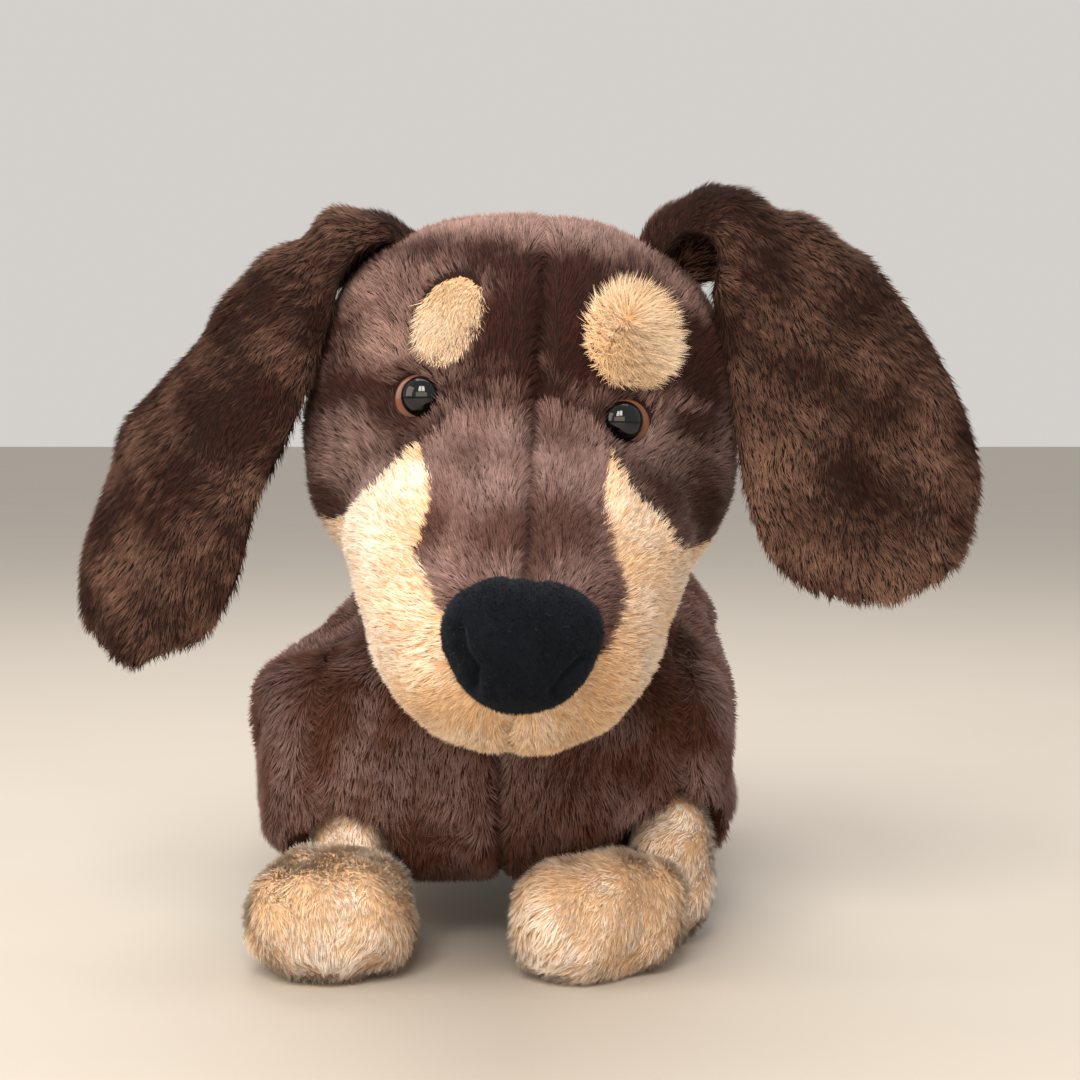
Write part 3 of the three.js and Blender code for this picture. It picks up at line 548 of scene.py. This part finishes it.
def lean(points):
    # turns points about the head's centre, the way the head leans
    a = math.radians(head["roll"])
    turn = np.array([[math.cos(a), 0, math.sin(a)], [0, 1, 0], [-math.sin(a), 0, math.cos(a)]])
    return (points - head["centre"]) @ turn.T + head["centre"]


def leanBoth(points, vectors):
    return lean(points), lean(vectors + head["centre"]) - head["centre"]


def ellipse(centre, radii, tilt):
    a = np.linspace(0, 2 * math.pi, 40, endpoint=False)
    x, z, t = radii[0] * np.cos(a), radii[1] * np.sin(a), math.radians(tilt)
    return np.stack([centre[0] + x * math.cos(t) - z * math.sin(t),
                     centre[1] + x * math.sin(t) + z * math.cos(t)], 1)


# outlines in the front view, x and z, before the head leans
outlines = {
    "brow_left": ellipse((31.5, 204), (12, 14.5), 12),
    "brow_right": ellipse((-24, 207), (9, 14), -24),
    "bridge": np.array([
        (-18, 178), (4, 183), (20, 178), (25, 172), (27, 166), (24, 153), (27, 141), (32, 130),
        (27, 115), (4, 106), (-10, 113), (-18, 126), (-27, 138), (-23, 153), (-29, 166), (-25, 172),
    ], float),
    "muzzle": np.array([
        (2, 40), (120, 40), (120, 139), (49, 141), (43, 150), (35, 157), (27, 168), (24, 153),
        (0, 120), (-23, 153), (-29, 168), (-40, 158), (-54, 142), (-120, 139), (-120, 40),
    ], float),
}


def panelOf(points, under=0):
    # 0 crown, 1 bridge, 2 cheek, 3 muzzle, 4 brow: later rules win; a brow's top edge lies under the crown's
    # pile by the millimetres given
    panel = np.where(points[:, 2] > head["eyeLine"], 0, 2)
    panel[insideOutline(points, outlines["muzzle"]) & (points[:, 1] < head["until"]["muzzle"])] = 3
    panel[insideOutline(points, outlines["bridge"]) & (points[:, 1] < head["until"]["bridge"])] = 1
    for brow in ("brow_left", "brow_right"):
        lower = insideOutline(points + [0, 0, under], outlines[brow])
        panel[insideOutline(points, outlines[brow]) & lower & (points[:, 1] < head["until"]["brow"])] = 4
    return panel


def eyeGap(points, outward):
    # distance, in the front view, to the nearest eye's middle moved outwards and down
    gap = np.full(len(points), 1e3)
    for x, z in head["eyes"].values():
        beside = np.hypot(points[:, 0] - x - math.copysign(outward, x), points[:, 2] - z + outward * 0.7)
        gap = np.minimum(gap, np.where(points[:, 1] < head["until"]["eye"], beside, 1e3))
    return gap


plain, headFaces = stuffedShape(head["form"], head["inset"], 200, 150)
gap = eyeGap(plain, 0)
# the pile fabric rises in a lid round each eye, in a broad hollow
lid = head["lid"]
sunk = seamDepth(plain, head["seams"]) - lid["rise"] * np.exp(-((gap - lid["at"]) / lid["width"]) ** 2)
sunk = sunk + lid["hollow"] * np.exp(-(gap / lid["hollowWidth"]) ** 2)
headPoints = plain + vertexNormals(plain, headFaces) * (0.6 * wave(plain, 44, 3) - sunk)[:, None]
headNormals = vertexNormals(headPoints, headFaces)
headSkin = backing("head_skin", lean(headPoints), headFaces,
                   [pile[key] for key in ("crown", "bridge", "cheek", "tan", "brow")],
                   panelOf(headPoints[headFaces].mean(1), 4))
place(headSkin, "head", ["crown_left", "crown_right", "snout_bridge_left", "snout_bridge_right", "cheek_left",
                         "cheek_right", "muzzle_left", "muzzle_right", "nape", "brow_patch_left",
                         "brow_patch_right", "head_filling"])
headPiles = {
    "crown": {"panel": 0, "look": "crown", "density": 2.8, "patches": "patches"},
    "cheek": {"panel": 2, "look": "cheek", "density": 2.9, "patches": "patches"},
    "bridge": {"panel": 1, "look": "bridge", "density": 4.4, "length": 4.4, "patches": "patches"},
    "muzzle": {"panel": 3, "look": "tan", "density": 2.5, "length": 4.2, "lock": 3.2, "clump": 0.6,
               "patches": "tanPatches", "paleAndSheenLevel": 0.25},
}


def awayFromNose(points):
    # the head's nap runs away from a point just behind the nose
    return unit(points - head["nose"] + [0, -14, 0])


def clearOfFace(roots, tips):
    # no hair over the middle of an eye, or under the nose pad
    under = np.hypot(roots[:, 0] - head["nose"][0], (roots[:, 2] - head["nose"][2]) * 1.15)
    covered = (under < head["bare"]["nose"]) & (roots[:, 1] < -40)
    return (eyeGap(roots, 0) > head["bare"]["root"]) & (eyeGap(tips, -1.3) > head["bare"]["tip"]) & ~covered


for number, (name, item) in enumerate(headPiles.items()):
    for side, sign in (("left", 1), ("right", -1)):
        roots, normals = scatter(
            headPoints, headFaces, headNormals, item["density"], 20 + number * 2 + sign,
            lambda c: (panelOf(c) == item["panel"]) * ((c[:, 0] - head["seamX"]) * sign > 0)
            * np.clip(1.1 - (c[:, 1] + 10) / 110, 0.42, 1),
        )
        far = np.clip((roots[:, 1:2] - 20) / 60, 0, 1)
        changes = {"width": 0.37 + 0.35 * far, "seed": 40 + number * 2 + sign}
        changes.update({key: item[key] for key in ("length", "lock", "clump", "paleAndSheenLevel") if key in item})
        piece = growPile(f"{name}_pile_{side}", pile[item["look"]], roots, normals, awayFromNose(roots),
                         changes, head["seams"], head[item["patches"]], leanBoth, clearOfFace)
        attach(piece, "head")

# Brow patches: a longer pile. The right one is combed flat and down, the left one bursts outwards.
brows = {
    "left": {"middle": (31, 205), "spread": 0.7, "down": 0.3, "length": 7.4, "lean": 42, "stray": 0.6,
             "lock": 2.6, "clump": 0.55},
    "right": {"middle": (-22, 216), "spread": 0.3, "down": 1.0, "length": 4.8, "lean": 62, "stray": 0.25,
              "lock": 1.6, "clump": 0.3},
}
for side, brow in brows.items():
    roots, normals = scatter(headPoints, headFaces, headNormals, 9.0, 70,
                             lambda c: insideOutline(c, outlines["brow_" + side])
                             * (c[:, 1] < head["until"]["brow"]))
    middle = roots[:, [0, 2]] - np.array(brow["middle"])
    nap = np.stack([brow["spread"] * middle[:, 0] / 9, np.zeros(len(roots)),
                    brow["spread"] * middle[:, 1] / 12 - brow["down"]], 1)
    changes = {key: brow[key] for key in ("length", "lean", "stray", "lock", "clump")}
    changes.update({"width": 0.34, "paleAndSheenLevel": 0.3, "seed": 75})
    piece = growPile("brow_pile_" + side, pile["brow"], roots, normals, nap, changes, turned=leanBoth,
                     keep=lambda root, tip: eyeGap(tip, 0) > head["bare"]["browTip"])
    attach(piece, "head")
print("head made")

# Eyes.
# Acrylic, moulded and polished: a sharp wet highlight on a near-black dome over a brown back plate.
# The washer behind is natural polypropylene, as moulded: whitish and faintly cloudy.
dome = mottled("acrylic_dome_polished_black", {"Roughness": 0.03, "IOR": 1.49}, "#010102", "#05060a", 400)
iris = mottled("acrylic_iris_moulded_brown", {"Roughness": 0.25, "IOR": 1.49, "Coat Weight": 0.5,
                                              "Coat Roughness": 0.06}, "#4f2b1c", "#74442e", 260)
washer = mottled("polypropylene_washer_moulded", {"Roughness": 0.45}, "#dcdcd6", "#ecece8", 300)


def turnedShape(profile, around, foot, axis):
    # a profile of (radius, height) carried round an axis; its first and last radius are 0
    axis = unit(axis)
    one = unit(np.cross(axis, [0, 1, 0.3]))
    two = np.cross(axis, one)
    a = np.linspace(0, 2 * math.pi, around, endpoint=False)
    ring = np.cos(a)[:, None] * one + np.sin(a)[:, None] * two
    radius, height = np.array(profile, float).T
    rings = foot + axis * height[1:-1, None, None] + ring * radius[1:-1, None, None]
    poles = foot + axis * height[[0, -1], None]
    return np.concatenate([rings.reshape(-1, 3), poles]), gridFaces(len(profile) - 2, around)


eye = {"dome": 6.2, "height": 4.9, "plate": 1.3, "splay": 16, "offset": 1.2, "behind": 4.2}
quarter = np.linspace(0, math.pi / 2, 20)[:-1]
eyeProfiles = {
    "iris": [(0, -1.0), (6.6, -1.0), (7.2, -0.6), (7.5, 0.1), (7.4, 0.7), (6.9, 1.2), (6.2, 1.45), (0, 1.5)],
    "pupil": [(0, 0.9),
              *[(eye["dome"] * math.cos(t), eye["plate"] + eye["height"] * math.sin(t)) for t in quarter],
              (0, eye["plate"] + eye["height"])],
}
for side, sign in (("left", 1), ("right", -1)):
    pupilLow, pupilHigh = (np.array(corner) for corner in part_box("eye_pupil_" + side))
    splay = math.radians(eye["splay"])
    axis = leanBoth(head["centre"], np.array([sign * math.sin(splay), -math.cos(splay), 0]))[1]
    seat = ((pupilLow + pupilHigh) / 2 - shift) * 1000 - axis * eye["behind"]
    # the dome sits inwards and up on its plate, so the ring shows more outside and below
    inwards = np.array([-sign * eye["offset"], 0, eye["offset"] * 0.7])
    for part, at, look, slot in (("iris", seat, iris, "brown_plastic"),
                                 ("pupil", seat + inwards, dome, "black_plastic")):
        piece = makeMesh(f"eye_{part}_{side}_moulding", *turnedShape(eyeProfiles[part], 64, at, axis))
        piece.data.materials.append(look)
        place(piece, "head", [f"eye_{part}_{side}"])
    washerMesh = bpy.data.objects["eye_washer_" + side].data
    washerMesh.materials.clear()
    washerMesh.materials.append(washer)

# Nose: a velour pad.
nose = {
    "form": {"from": [4, -72, 118], "blend": 5, "lobes": [
        {"centre": [-3.5, -73, 121], "radii": [14, 12, 12]},
        {"centre": [12, -73, 121], "radii": [14, 12, 12]},
        {"centre": [4, -72, 109.5], "radii": [15.5, 11.5, 11.5]},
    ]},
    "folds": [
        {"line": [(-13, 121), (-11.5, 115), (-8, 110), (-8, 105)], "depth": 2.4, "width": 1.6, "until": -70},
        {"line": [(21, 114), (17, 110), (14, 105)], "depth": 2.0, "width": 1.8, "until": -70},
        {"line": [(1, 134), (4, 131), (7, 134)], "depth": 0.9, "width": 2.0, "until": -66},
    ],
}
# Velour: close-cropped polyester velvet, black, that grazing light turns blue-grey.
velour = mottled("velour_cropped_black", {
    "Roughness": 0.95, "Specular IOR Level": 0.1, "Sheen Weight": 0.1, "Sheen Roughness": 0.5,
    "Sheen Tint": linear("#8c9ab4")}, "#06070a", "#11151c", 120,
    {"scale": 1500.0, "strength": 0.6, "distance": 0.0004})
points, faces = stuffedShape(nose["form"], 0.4, 110, 70)
moved = 0.3 * wave(points, 14, 8) - seamDepth(points, nose["folds"])
points = points + vertexNormals(points, faces) * moved[:, None]
nosePad = backing("nose_pad", lean(points), faces, [velour])
place(nosePad, "head", ["nose_cover", "nose_filling"])
normals = vertexNormals(points, faces)
# The cropped nap itself, and a few stray lint fibres caught in it.
noseNap = {
    "nap": {"density": 2.6, "length": 0.9, "width": 0.34, "lean": 40, "stray": 0.5, "material": velour},
    "lint": {"density": 0.09, "length": 2.6, "width": 0.07, "lean": 84, "stray": 3.0,
             "material": pile["bridge"]},
}
for name, item in noseNap.items():
    roots, rootNormals = scatter(points, faces, normals, item["density"], 78, lambda c: c[:, 1] < -66)
    nap = np.tile([0.2, 0, -1], (len(roots), 1))
    changes = {key: item[key] for key in ("length", "width", "lean", "stray")}
    changes.update({"clump": 0.0, "seed": 79})
    piece = growPile("nose_" + name, item["material"], roots, rootNormals, nap, changes, turned=leanBoth)
    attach(piece, "head")
print("face made")

# Ears: two layers of pile fabric, sewn as one flat bag.
# at: the spine; reach: how far the sheet goes either side of it; half over half the curl angle is the
# radius of the arc that the sheet bends round; face: the way its back points
ears = {
    "left": {
        "at": [(36, 50, 231), (50, 46, 244), (68, 40, 246), (84, 35, 235), (97, 31, 210), (106, 28, 180),
               (111, 26, 152), (116, 25, 134), (119, 25, 121)],
        "reach": [(24, 13), (34, 15), (38, 21), (27, 32), (30, 36), (37, 40), (38, 39), (29, 31), (14, 15)],
        "half": [14, 17, 21, 29, 36, 39, 38, 29, 13],
        "curl": [190, 180, 155, 110, 74, 50, 42, 34, 20],
        "face": [(-0.5, 0, 1), (-0.2, 0, 1), (0.3, -0.3, 0.9), (0.45, -0.75, 0.55), (0.3, -0.93, 0.2),
                 (0.2, -0.97, 0.12), (0.14, -0.98, 0.1), (0.12, -0.98, 0.1), (0.12, -0.98, 0.1)],
        # the pale level on the next line and the patches paint the ear's sheen (above 0) and shade (below 0)
        "seed": 11, "blend": (46, 66), "paleAndSheenLevel": 0.34,
        "patches": [(88, 160, 12, 14, 0.5), (112, 132, 26, 12, 0.4), (96, 186, 10, 26, -0.3),
                    (104, 158, 14, 12, -0.3), (60, 250, 24, 12, -0.4), (112, 196, 16, 22, 0.1),
                    (74, 150, 6, 34, 0.5)],
    },
    "right": {
        "at": [(-32, 54, 231), (-47, 46, 242), (-69, 40, 235), (-87, 36, 214), (-102, 32, 188),
               (-115, 29, 161), (-122, 27, 134), (-125, 26, 115), (-126, 26, 102)],
        "reach": [(13, 24), (15, 25), (22, 31), (31, 26), (36, 32), (37, 37), (37, 37), (30, 30), (15, 15)],
        "half": [14, 17, 21, 27, 33, 37, 36, 28, 13],
        "curl": [190, 180, 150, 110, 85, 72, 62, 50, 30],
        "face": [(0.5, 0, 1), (0.1, 0, 1), (-0.5, -0.3, 0.8), (-0.66, -0.6, 0.4), (-0.66, -0.7, 0.25),
                 (-0.64, -0.74, 0.15), (-0.62, -0.76, 0.1), (-0.6, -0.78, 0.08), (-0.6, -0.78, 0.08)],
        # the pale level on the next line and the patches paint the ear's sheen (above 0) and shade (below 0)
        "seed": 12, "blend": (-44, -64), "paleAndSheenLevel": 0.12,
        "patches": [(-126, 126, 10, 16, 0.3), (-108, 112, 12, 10, 0.25), (-92, 190, 16, 20, -0.35)],
    },
}
earCloth = {"thick": 2.0, "straight": math.radians(82), "steps": 130, "columns": 96}


def alongStations(values, s):
    # Catmull-Rom curve through the stations, s from 0 to 1
    values = np.asarray(values, float).reshape(len(values), -1)
    run = np.clip(s, 0, 1) * (len(values) - 1)
    i = np.minimum(run.astype(int), len(values) - 2)
    f = (run - i)[:, None]
    a, b, c, d = (values[np.clip(i + k, 0, len(values) - 1)] for k in (-1, 0, 1, 2))
    return b + 0.5 * f * (c - a + f * (2 * a - 5 * b + 4 * c - d + f * (3 * (b - c) + d - a)))


def earShape(ear):
    # a flat bag along a spine: each section is a thin oval, bent round an arc and straight beyond it
    steps, columns = earCloth["steps"], earCloth["columns"]
    s = np.linspace(0, 1, steps)
    at = alongStations(ear["at"], s)
    spine = unit(alongStations(ear["at"], s + 0.02) - alongStations(ear["at"], s - 0.02))
    face = alongStations(ear["face"], s)
    face = unit(face - spine * (face * spine).sum(1, keepdims=True))
    across = np.cross(spine, face)
    taper = np.sqrt(np.clip(1 - np.clip((s - 0.9) / 0.1, 0, 1) ** 2, 0.02, 1))
    radius = alongStations(ear["half"], s) / (np.radians(alongStations(ear["curl"], s)) / 2)
    w = np.linspace(0, 2 * math.pi, columns, endpoint=False)[None]
    t = np.sign(np.cos(w)) * np.abs(np.cos(w)) ** 0.8
    reach = alongStations(ear["reach"], s) * taper[:, None]
    run = np.abs(t) * np.where(t < 0, reach[:, :1], reach[:, 1:])
    bent = np.minimum(run / radius, earCloth["straight"])
    beyond = run - bent * radius
    off = earCloth["thick"] * np.sign(np.sin(w)) * np.abs(np.sin(w)) ** 0.5
    sideways = np.sign(t) * ((radius + off) * np.sin(bent) + beyond * np.cos(bent))
    outwards = (radius + off) * np.cos(bent) - radius - beyond * np.sin(bent)
    points = at[:, None] + across[:, None] * sideways[:, :, None] + face[:, None] * outwards[:, :, None]
    ends = points[[0, -1]].mean(1)
    outer = np.concatenate([np.tile(np.clip(np.sin(w[0]) * 2, -1, 1), steps), [0, 0]])
    return np.concatenate([points.reshape(-1, 3), ends]), gridFaces(steps, columns), outer, at, spine


for side, ear in ears.items():
    points, faces, outer, spineAt, spine = earShape(ear)
    # lengthwise folds that both layers follow
    folds = 1.6 * wave(points * [1.6, 1, 0.4], 26, ear["seed"]) * outer
    points = points + vertexNormals(points, faces) * folds[:, None]
    normals = vertexNormals(points, faces)
    skin = backing(f"ear_{side}_skin", points, faces, [pile["ear"]])
    pieces = [skin]
    for layer, wanted, density in (("back", True, 2.4), ("lining", False, 0.95)):
        layerFaces = faces[(outer[faces].mean(1) > 0) == wanted]
        roots, rootNormals = scatter(points, layerFaces, normals, density, 90, lambda c: np.ones(len(c)))
        nearest = ((roots[:, None, :] - spineAt[None, ::2]) ** 2).sum(2).argmin(1) * 2
        piece = growPile(f"ear_{side}_{layer}_pile", pile["ear"], roots, rootNormals, spine[nearest],
                         {"length": 4.6, "width": 0.43 if wanted else 0.72, "lean": 70,
                          "paleAndSheenLevel": ear["paleAndSheenLevel"], "seed": 95}, patches=ear["patches"])
        pieces.append(piece)
    for piece in pieces:
        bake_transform(piece)
    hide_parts("ear_back_" + side, "ear_lining_" + side)
print("ears made")

# Legs: a ball in the torso, a short shaft and a flat foot.
legs = {
    "foreleg_left": {"at": (49, 62), "toes": -46, "out": -25, "forward": 36, "foot": (22, 33, 21)},
    "foreleg_right": {"at": (-58, 64), "toes": 4, "out": -4, "forward": 36, "foot": (27.5, 31, 21)},
    "hindleg_left": {"at": (52, 262), "toes": 8, "out": 3, "forward": 28, "foot": (24, 30, 21)},
    "hindleg_right": {"at": (-52, 262), "toes": -8, "out": -3, "forward": 28, "foot": (24, 30, 21)},
}
legPlain = {"ball": 14, "ballZ": 40, "footZ": 18, "inset": 2.2, "sole": 0.6}
legForms = {}
for number, (name, leg) in enumerate(legs.items()):
    x, y = leg["at"]
    footX, footY = x + leg["out"], y - leg["forward"]
    legForms[name] = form = {"from": [(x + footX) / 2, (y + footY) / 2, 20], "blend": 4, "lobes": [
        {"centre": [x, y, legPlain["ballZ"]], "radii": [legPlain["ball"]] * 3},
        {"centre": [x, y, 22], "radii": [14, 15, 22]},
        {"centre": [footX, footY, legPlain["footZ"]], "radii": leg["foot"], "square": 2.5,
         "turn": leg["toes"]},
    ]}
    points, faces = stuffedShape(form, legPlain["inset"], 90, 64)
    points = points + vertexNormals(points, faces) * (0.9 * wave(points, 22, 30 + number))[:, None]
    points[:, 2] = np.maximum(points[:, 2], legPlain["sole"])
    normals = vertexNormals(points, faces)
    skin = backing(name + "_stuffed", points, faces, [pile["paw"]])
    place(skin, name, [name + "_skin", name + "_sole", name + "_filling"])
    roots, rootNormals = scatter(points, faces, normals, 2.5 if "fore" in name else 1.0, 110 + number,
                                 lambda c: (c[:, 2] > 1.2) * (c[:, 2] < 50))
    turn = math.radians(leg["toes"])
    toe = np.array([footX + 40 * math.sin(turn), footY - 40 * math.cos(turn), 2.0])
    nap = unit(toe - roots) * [1, 1, 0.6] + [0, 0, -0.35]
    toePale = np.clip(1 - np.linalg.norm((roots - toe) * [1, 1, 1.6], axis=1) / 42, 0, 1)
    shin = np.clip((roots[:, 1] - footY - 4) / 20, 0, 1) * (roots[:, 2] > 10)
    piece = growPile(name + "_pile", pile["paw"], roots, rootNormals, nap,
                     {"length": 4.6, "lean": 64, "width": 0.42 if "fore" in name else 0.65, "swirl": 0.5,
                      "patch": 14, "lock": 3.2, "clump": 0.5, "paleAndSheenLevel": 0.2 + 1.3 * toePale + 0.7 * shin,
                      "base": 0.15, "seed": 120 + number})
    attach(piece, name)
print("legs made")

# Torso.
torso = {
    "inset": 2.2,
    "clear": 3.0,  # room left round each leg
    "clearRoot": 3.6,  # no hair grows nearer to a leg than this
    "chestDepth": 82,
    "form": {"from": [0, 175, 76.5], "blend": 8, "lobes": [
        {"centre": [-11.2, 101, 60], "radii": [82.2, 58, 38], "square": 5},
        {"centre": [-4, 104, 90], "radii": [60, 55, 36], "square": 2.3},
        {"centre": [0, 175, 76.5], "radii": [70, 110, 46], "square": 2.6},
        {"centre": [0, 246, 78.5], "radii": [76, 62, 49], "square": 2.6},
    ]},
    "seams": [
        {"line": [(-8, 130), (-8.5, 60), (-8, 20)], "depth": 3.6, "width": 2.2, "until": 82, "dark": 0.5},
        {"line": [(51, 130), (52, 60), (50, 20)], "depth": 3.0, "width": 2.2, "until": 82, "dark": 0.4},
        {"line": [(-46, 44), (-30, 41), (-19, 43)], "depth": 1.6, "width": 2.4, "until": 70, "dark": 0.25},
        {"line": [(-62, 96), (-70, 76), (-72, 60), (-62, 44)], "depth": 1.6, "width": 3.2, "until": 80,
         "dark": 0.2},
    ],
    # painted sheen where the last number is above 0, painted shade where it is below
    "patches": [(-34, 62, 26, 14, 0.45), (-66, 84, 8, 22, -0.5), (-30, 34, 40, 7, -0.15),
                (20, 60, 22, 22, 0.1), (46, 84, 10, 20, -0.5), (66, 70, 8, 22, 0.3),
                (-82, 70, 6, 30, 0.35), (24, 34, 30, 7, -0.3)],
}
centre = np.array(torso["form"]["from"], float)
plain, torsoFaces = stuffedShape(torso["form"], torso["inset"], 200, 140)
directions = unit(plain - centre)
reach = np.linalg.norm(plain - centre, axis=1)
for form in legForms.values():
    # hollows over the legs: a ray is cut short where it would come too near to a leg
    near = softDistance(plain, form) < torso["clear"]
    reach[near] = rayEnd(lambda p: softDistance(p, form) > torso["clear"],
                         centre, directions[near], reach[near])
plain = centre + directions * reach[:, None]
spineSeam = np.where((plain[:, 1] > 130) & (plain[:, 2] > 90), 2.4 * np.exp(-(plain[:, 0] / 2.2) ** 2), 0)
sunk = seamDepth(plain, torso["seams"]) + spineSeam
slack = 1.5 * wave(plain, 60, 5) + 0.7 * wave(plain, 24, 6)
torsoPoints = plain + vertexNormals(plain, torsoFaces) * (slack - sunk)[:, None]
torsoNormals = vertexNormals(torsoPoints, torsoFaces)
torsoSkin = backing("torso_skin", torsoPoints, torsoFaces, [pile["torso"]])
place(torsoSkin, "torso", ["chest_left", "chest_right", "flank_left", "flank_right", "belly", "torso_filling",
                           "pellet_bag"])
chestDepth = torso["chestDepth"]
torsoPiles = {
    "chest_pile_left": {"where": lambda x, y, z: (y < chestDepth) & (x > -8), "density": 2.3,
                        "width": 0.46},
    "chest_pile_right": {"where": lambda x, y, z: (y < chestDepth) & (x <= -8), "density": 2.3,
                         "width": 0.46},
    "flank_pile_left": {"where": lambda x, y, z: (y >= chestDepth) & (x > 0) & (z > 40), "density": 0.72},
    "flank_pile_right": {"where": lambda x, y, z: (y >= chestDepth) & (x <= 0) & (z > 40), "density": 0.72},
    "belly_pile": {"where": lambda x, y, z: (y >= chestDepth) & (z <= 40), "density": 0.45},
}
for number, (name, item) in enumerate(torsoPiles.items()):
    roots, rootNormals = scatter(
        torsoPoints, torsoFaces, torsoNormals, item["density"], 130 + number,
        lambda c: item["where"](*c.T) * np.all(
            [softDistance(c, form) > torso["clearRoot"] for form in legForms.values()], axis=0),
    )
    nap = np.where(roots[:, 1:2] < chestDepth, [[0, 0.1, -1]], [[0, 0.9, -0.45]])
    piece = growPile(name, pile["torso"], roots, rootNormals, nap,
                     {"length": 5.2, "width": item.get("width", 0.85), "paleAndSheenLevel": 0.3, "seed": 140 + number},
                     torso["seams"], torso["patches"])
    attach(piece, "torso")
print("torso made")

# Neck: a rounded plug between the head and the torso.
neck = {"radius": 36.0, "top": 150.0, "foot": 110.0, "covered": (114, 160)}
neckProfile = [(0, neck["foot"]), (neck["radius"] - 1, neck["foot"]),
               *[(neck["radius"], z) for z in np.linspace(112, 148, 14)],
               *[(neck["radius"] * math.cos(t), neck["top"] + neck["radius"] * math.sin(t)) for t in quarter],
               (0, neck["top"] + neck["radius"])]
points, faces = turnedShape(neckProfile, 110, np.array([0.0, neckY, 0.0]), np.array([0.0, 0.0, 1.0]))
neckSkin = backing("neck_sleeve", points, faces, [pile["torso"]])
place(neckSkin, "neck", ["neck_skin", "neck_filling"])
roots, rootNormals = scatter(points, faces, vertexNormals(points, faces), 0.8, 160,
                             lambda c: (c[:, 2] > neck["covered"][0]) * (c[:, 2] < neck["covered"][1]))
piece = growPile("neck_pile", pile["torso"], roots, rootNormals, np.tile([0, 0.2, -1.0], (len(roots), 1)),
                 {"width": 0.8, "seed": 161})
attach(piece, "neck")

# Tail: a tapered tube along a curve.
tail = {"at": [(0, 303, 98), (0, 326, 106), (0, 349, 124), (0, 366, 152)], "root": 12, "tip": 8,
        "inset": 2.2, "steps": 60, "columns": 60}
s = np.linspace(0, 1, tail["steps"])[:, None]
path = alongStations(tail["at"], s[:, 0])
spine = unit(np.gradient(path, axis=0))
up = np.cross([1.0, 0, 0], spine)
rounded = np.sqrt(np.clip(1 - np.clip((s - 0.8) / 0.21, 0, 1) ** 2, 0.01, 1))
thick = (tail["root"] + (tail["tip"] - tail["root"]) * s) * rounded - tail["inset"] * (1 - s * 0.4)
thick = np.maximum(thick, 0.4)
ring = np.linspace(0, 2 * math.pi, tail["columns"], endpoint=False)[None, :, None]
points = path[:, None] + thick[:, None] * (np.cos(ring) * np.array([1.0, 0, 0]) + np.sin(ring) * up[:, None])
points = np.concatenate([points.reshape(-1, 3), path[:1], path[-1:]])
faces = gridFaces(tail["steps"], tail["columns"])
tailSkin = backing("tail_stuffed", points, faces, [pile["torso"]])
place(tailSkin, "tail", ["tail_skin", "tail_filling"])
roots, rootNormals = scatter(points, faces, vertexNormals(points, faces), 1.5, 170, lambda c: np.ones(len(c)))
nearest = ((roots[:, None, :] - path[None]) ** 2).sum(2).argmin(1)
piece = growPile("tail_pile", pile["torso"], roots, rootNormals, spine[nearest], {"width": 0.6, "seed": 171})
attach(piece, "tail")
print("neck and tail made")
